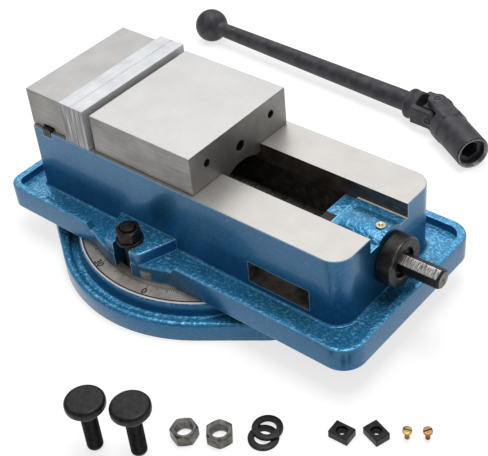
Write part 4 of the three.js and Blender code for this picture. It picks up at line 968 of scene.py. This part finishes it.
def strips(heading, inner, outer, width, low, high):
    """Radial bars, one for each angle in degrees: each is a box from inner to outer along its own
    radius, width across it, from low to high. Returns points and quads."""
    heading = np.radians(heading)[:, None]
    radial = np.stack(np.broadcast_arrays(inner[:, None], outer[:, None]), -1).reshape(-1, 2)
    along = radial[:, [0, 1, 1, 0, 0, 1, 1, 0]]
    across = np.tile([-0.5, -0.5, 0.5, 0.5] * 2, (len(along), 1)) * width
    height = np.tile([low] * 4 + [high] * 4, (len(along), 1))
    points = np.stack([along * np.cos(heading) - across * np.sin(heading),
                       along * np.sin(heading) + across * np.cos(heading), height], -1)
    box = np.array([[3, 2, 1, 0], [4, 5, 6, 7], [0, 1, 5, 4], [1, 2, 6, 5], [2, 3, 7, 6], [3, 0, 4, 7]])
    quads = box[None] + 8 * np.arange(len(along))[:, None, None]
    return points.reshape(-1, 3), quads.reshape(-1, 4)


ZERO = -78.5  # heading of the scale's zero
SUNK, PROUD = DISC_TOP - 0.2, DISC_TOP + 0.03
degrees = np.arange(360)
reach = np.select([degrees % 10 == 0, degrees % 5 == 0], [133.4, 131.8], 128.8)
ticks = strips(ZERO - degrees, np.full(360, 125.4), reach, 0.75, SUNK, PROUD)
piece("scale_ticks", [(ticks, scale_ink)], "base")
line = turned([[141.9, SUNK], [143.5, SUNK], [143.5, PROUD], [141.9, PROUD], [141.9, SUNK]], 160)
piece("scale_border", [(line, scale_ink)], "base")


def numerals(values, headings, radius, size, height):
    """Figures that read from outside: each is set with its foot away from the axis, the text's x
    along the tangent and its y towards the axis."""
    points, faces, first = [], [], 0
    for value, heading in zip(values, np.radians(headings)):
        words = bpy.data.curves.new("figure", "FONT")
        words.body, words.size, words.extrude = str(value), size * MM, 0.1 * MM
        words.align_x, words.align_y, words.offset = "CENTER", "CENTER", 0.3 * MM
        words.resolution_u = 3
        writer = linked("figure", words)
        flat_words = evaluated_mesh(writer)
        where = read(flat_words.vertices, "co") / MM
        radial, tangent = [math.cos(heading), math.sin(heading)], [-math.sin(heading), math.cos(heading)]
        spot = np.array(radial) * radius + where[:, :1] * tangent - where[:, 1:2] * radial
        points.append(np.column_stack([spot, where[:, 2] + height]) * MM)
        faces += [[corner + first for corner in polygon.vertices] for polygon in flat_words.polygons]
        first += len(where)
        bpy.data.objects.remove(writer)
    mesh = bpy.data.meshes.new("scale_figures")
    mesh.from_pydata(np.concatenate(points), [], faces)
    mesh.materials.append(scale_ink)
    return tidied(mesh)


marks = np.arange(0, 360, 30)
figures = numerals(marks, ZERO - marks, radius=137.8, size=11.5, height=DISC_TOP - 0.06)
show("scale_figures", figures, "base")

# What stays as the CAD has it, with its own finish

kept = {
    bright_steel: ["centre_pivot", "half_ball", "oiler_spring", "thrust_race_rear", "thrust_race_front",
                   *[f"thrust_ball_{i}" for i in range(1, 9)]],
    black_oxide: ["fixed_jaw_bolt_near", "fixed_jaw_bolt_far", "fixed_plate_screw_near",
                  "fixed_plate_screw_far", "movable_plate_screw_near", "movable_plate_screw_far",
                  "jaw_set_screw", "collar_set_screw"],
    bronze: ["screw_bushing"],
    brass: ["thrust_cage"],
}
for material, names in kept.items():
    for name in names:
        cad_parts[name].material_slots[0].material = material

# Stage, light and camera


def floor_finish(name):
    """Plain pale floor: a matt sheet that the camera and reflections see a little brighter, so that
    it is white where nothing shades it and keeps the object's shadow."""
    material = bpy.data.materials.new(name)
    node = blank(material)
    rays = node("LightPath")
    seen = node("Math", {0: rays.outputs["Is Camera Ray"], 1: rays.outputs["Is Glossy Ray"]},
                operation="ADD", use_clamp=True)
    clear = node("Math", {0: seen, 1: rays.outputs["Is Transmission Ray"]},
                 operation="ADD", use_clamp=True)
    lift = node("Math", {0: clear, 1: 0.72}, operation="MULTIPLY")
    matt = node("BsdfDiffuse", {"Color": linear("#b4b4b4")})
    glow = node("Emission", {"Strength": lift})
    both = node("AddShader", {0: matt, 1: glow})
    node("OutputMaterial", {"Surface": both})
    return material


FLOOR_HALF = 45  # metres
floor_mesh = bpy.data.meshes.new("floor")
floor_corners = np.array([(-1, -1, 0), (1, -1, 0), (1, 1, 0), (-1, 1, 0)]) * FLOOR_HALF
floor_mesh.from_pydata(floor_corners, [], [(0, 1, 2, 3)])
floor_mesh.materials.append(floor_finish("pale_floor"))
linked("floor", floor_mesh)

world = bpy.data.worlds.new("studio")
sky_node = blank(world)
sky = sky_node("Background", {"Color": linear("#ffffff"), "Strength": 0.36})
sky_node("OutputWorld", {"Surface": sky})
bpy.context.scene.world = world


def aimed(spot, target, roll=0.0):
    """The matrix of a lamp or camera at spot that faces target, rolled by that many degrees."""
    back = np.subtract(spot, target)
    back = back / np.linalg.norm(back)
    level = np.cross((0, 0, 1), back)
    level = level / np.linalg.norm(level)
    lift = np.cross(back, level)
    cos, sin = math.cos(math.radians(roll)), math.sin(math.radians(roll))
    axes = np.column_stack([cos * level + sin * lift, cos * lift - sin * level, back])
    return Matrix([(*row, end) for row, end in zip(axes, spot)] + [(0, 0, 0, 1)])


def lamp(name, spot, aim, size, power):
    """A square area lamp at spot, in metres, that faces aim."""
    light = bpy.data.lights.new(name, "AREA")
    light.shape, light.size, light.energy = "SQUARE", size, power
    linked(name, light).matrix_world = aimed(spot, aim)


lamp("back_softbox", (-0.9, 1.1, 1.9), (0, 0, 0.1), 2.4, 21)
lamp("key_softbox", (0.25, 0.1, 2.1), (0, 0, 0.1), 0.85, 15)

SENSOR, PHOTO_WIDTH, FOCAL_PIXELS = 36.0, 488, 1130.6
camera_data = bpy.data.cameras.new("camera")
camera_data.sensor_fit, camera_data.sensor_width = "HORIZONTAL", SENSOR
camera_data.lens = SENSOR * FOCAL_PIXELS / PHOTO_WIDTH
camera_data.clip_start, camera_data.clip_end = 0.05, 150
camera = linked("camera", camera_data)
camera.matrix_world = aimed((0.7075, -0.6925, 0.82795), (0.2901, -0.2513, 0.3235), -6.07)
bpy.context.scene.camera = camera
bpy.context.scene.view_settings.view_transform = "Standard"
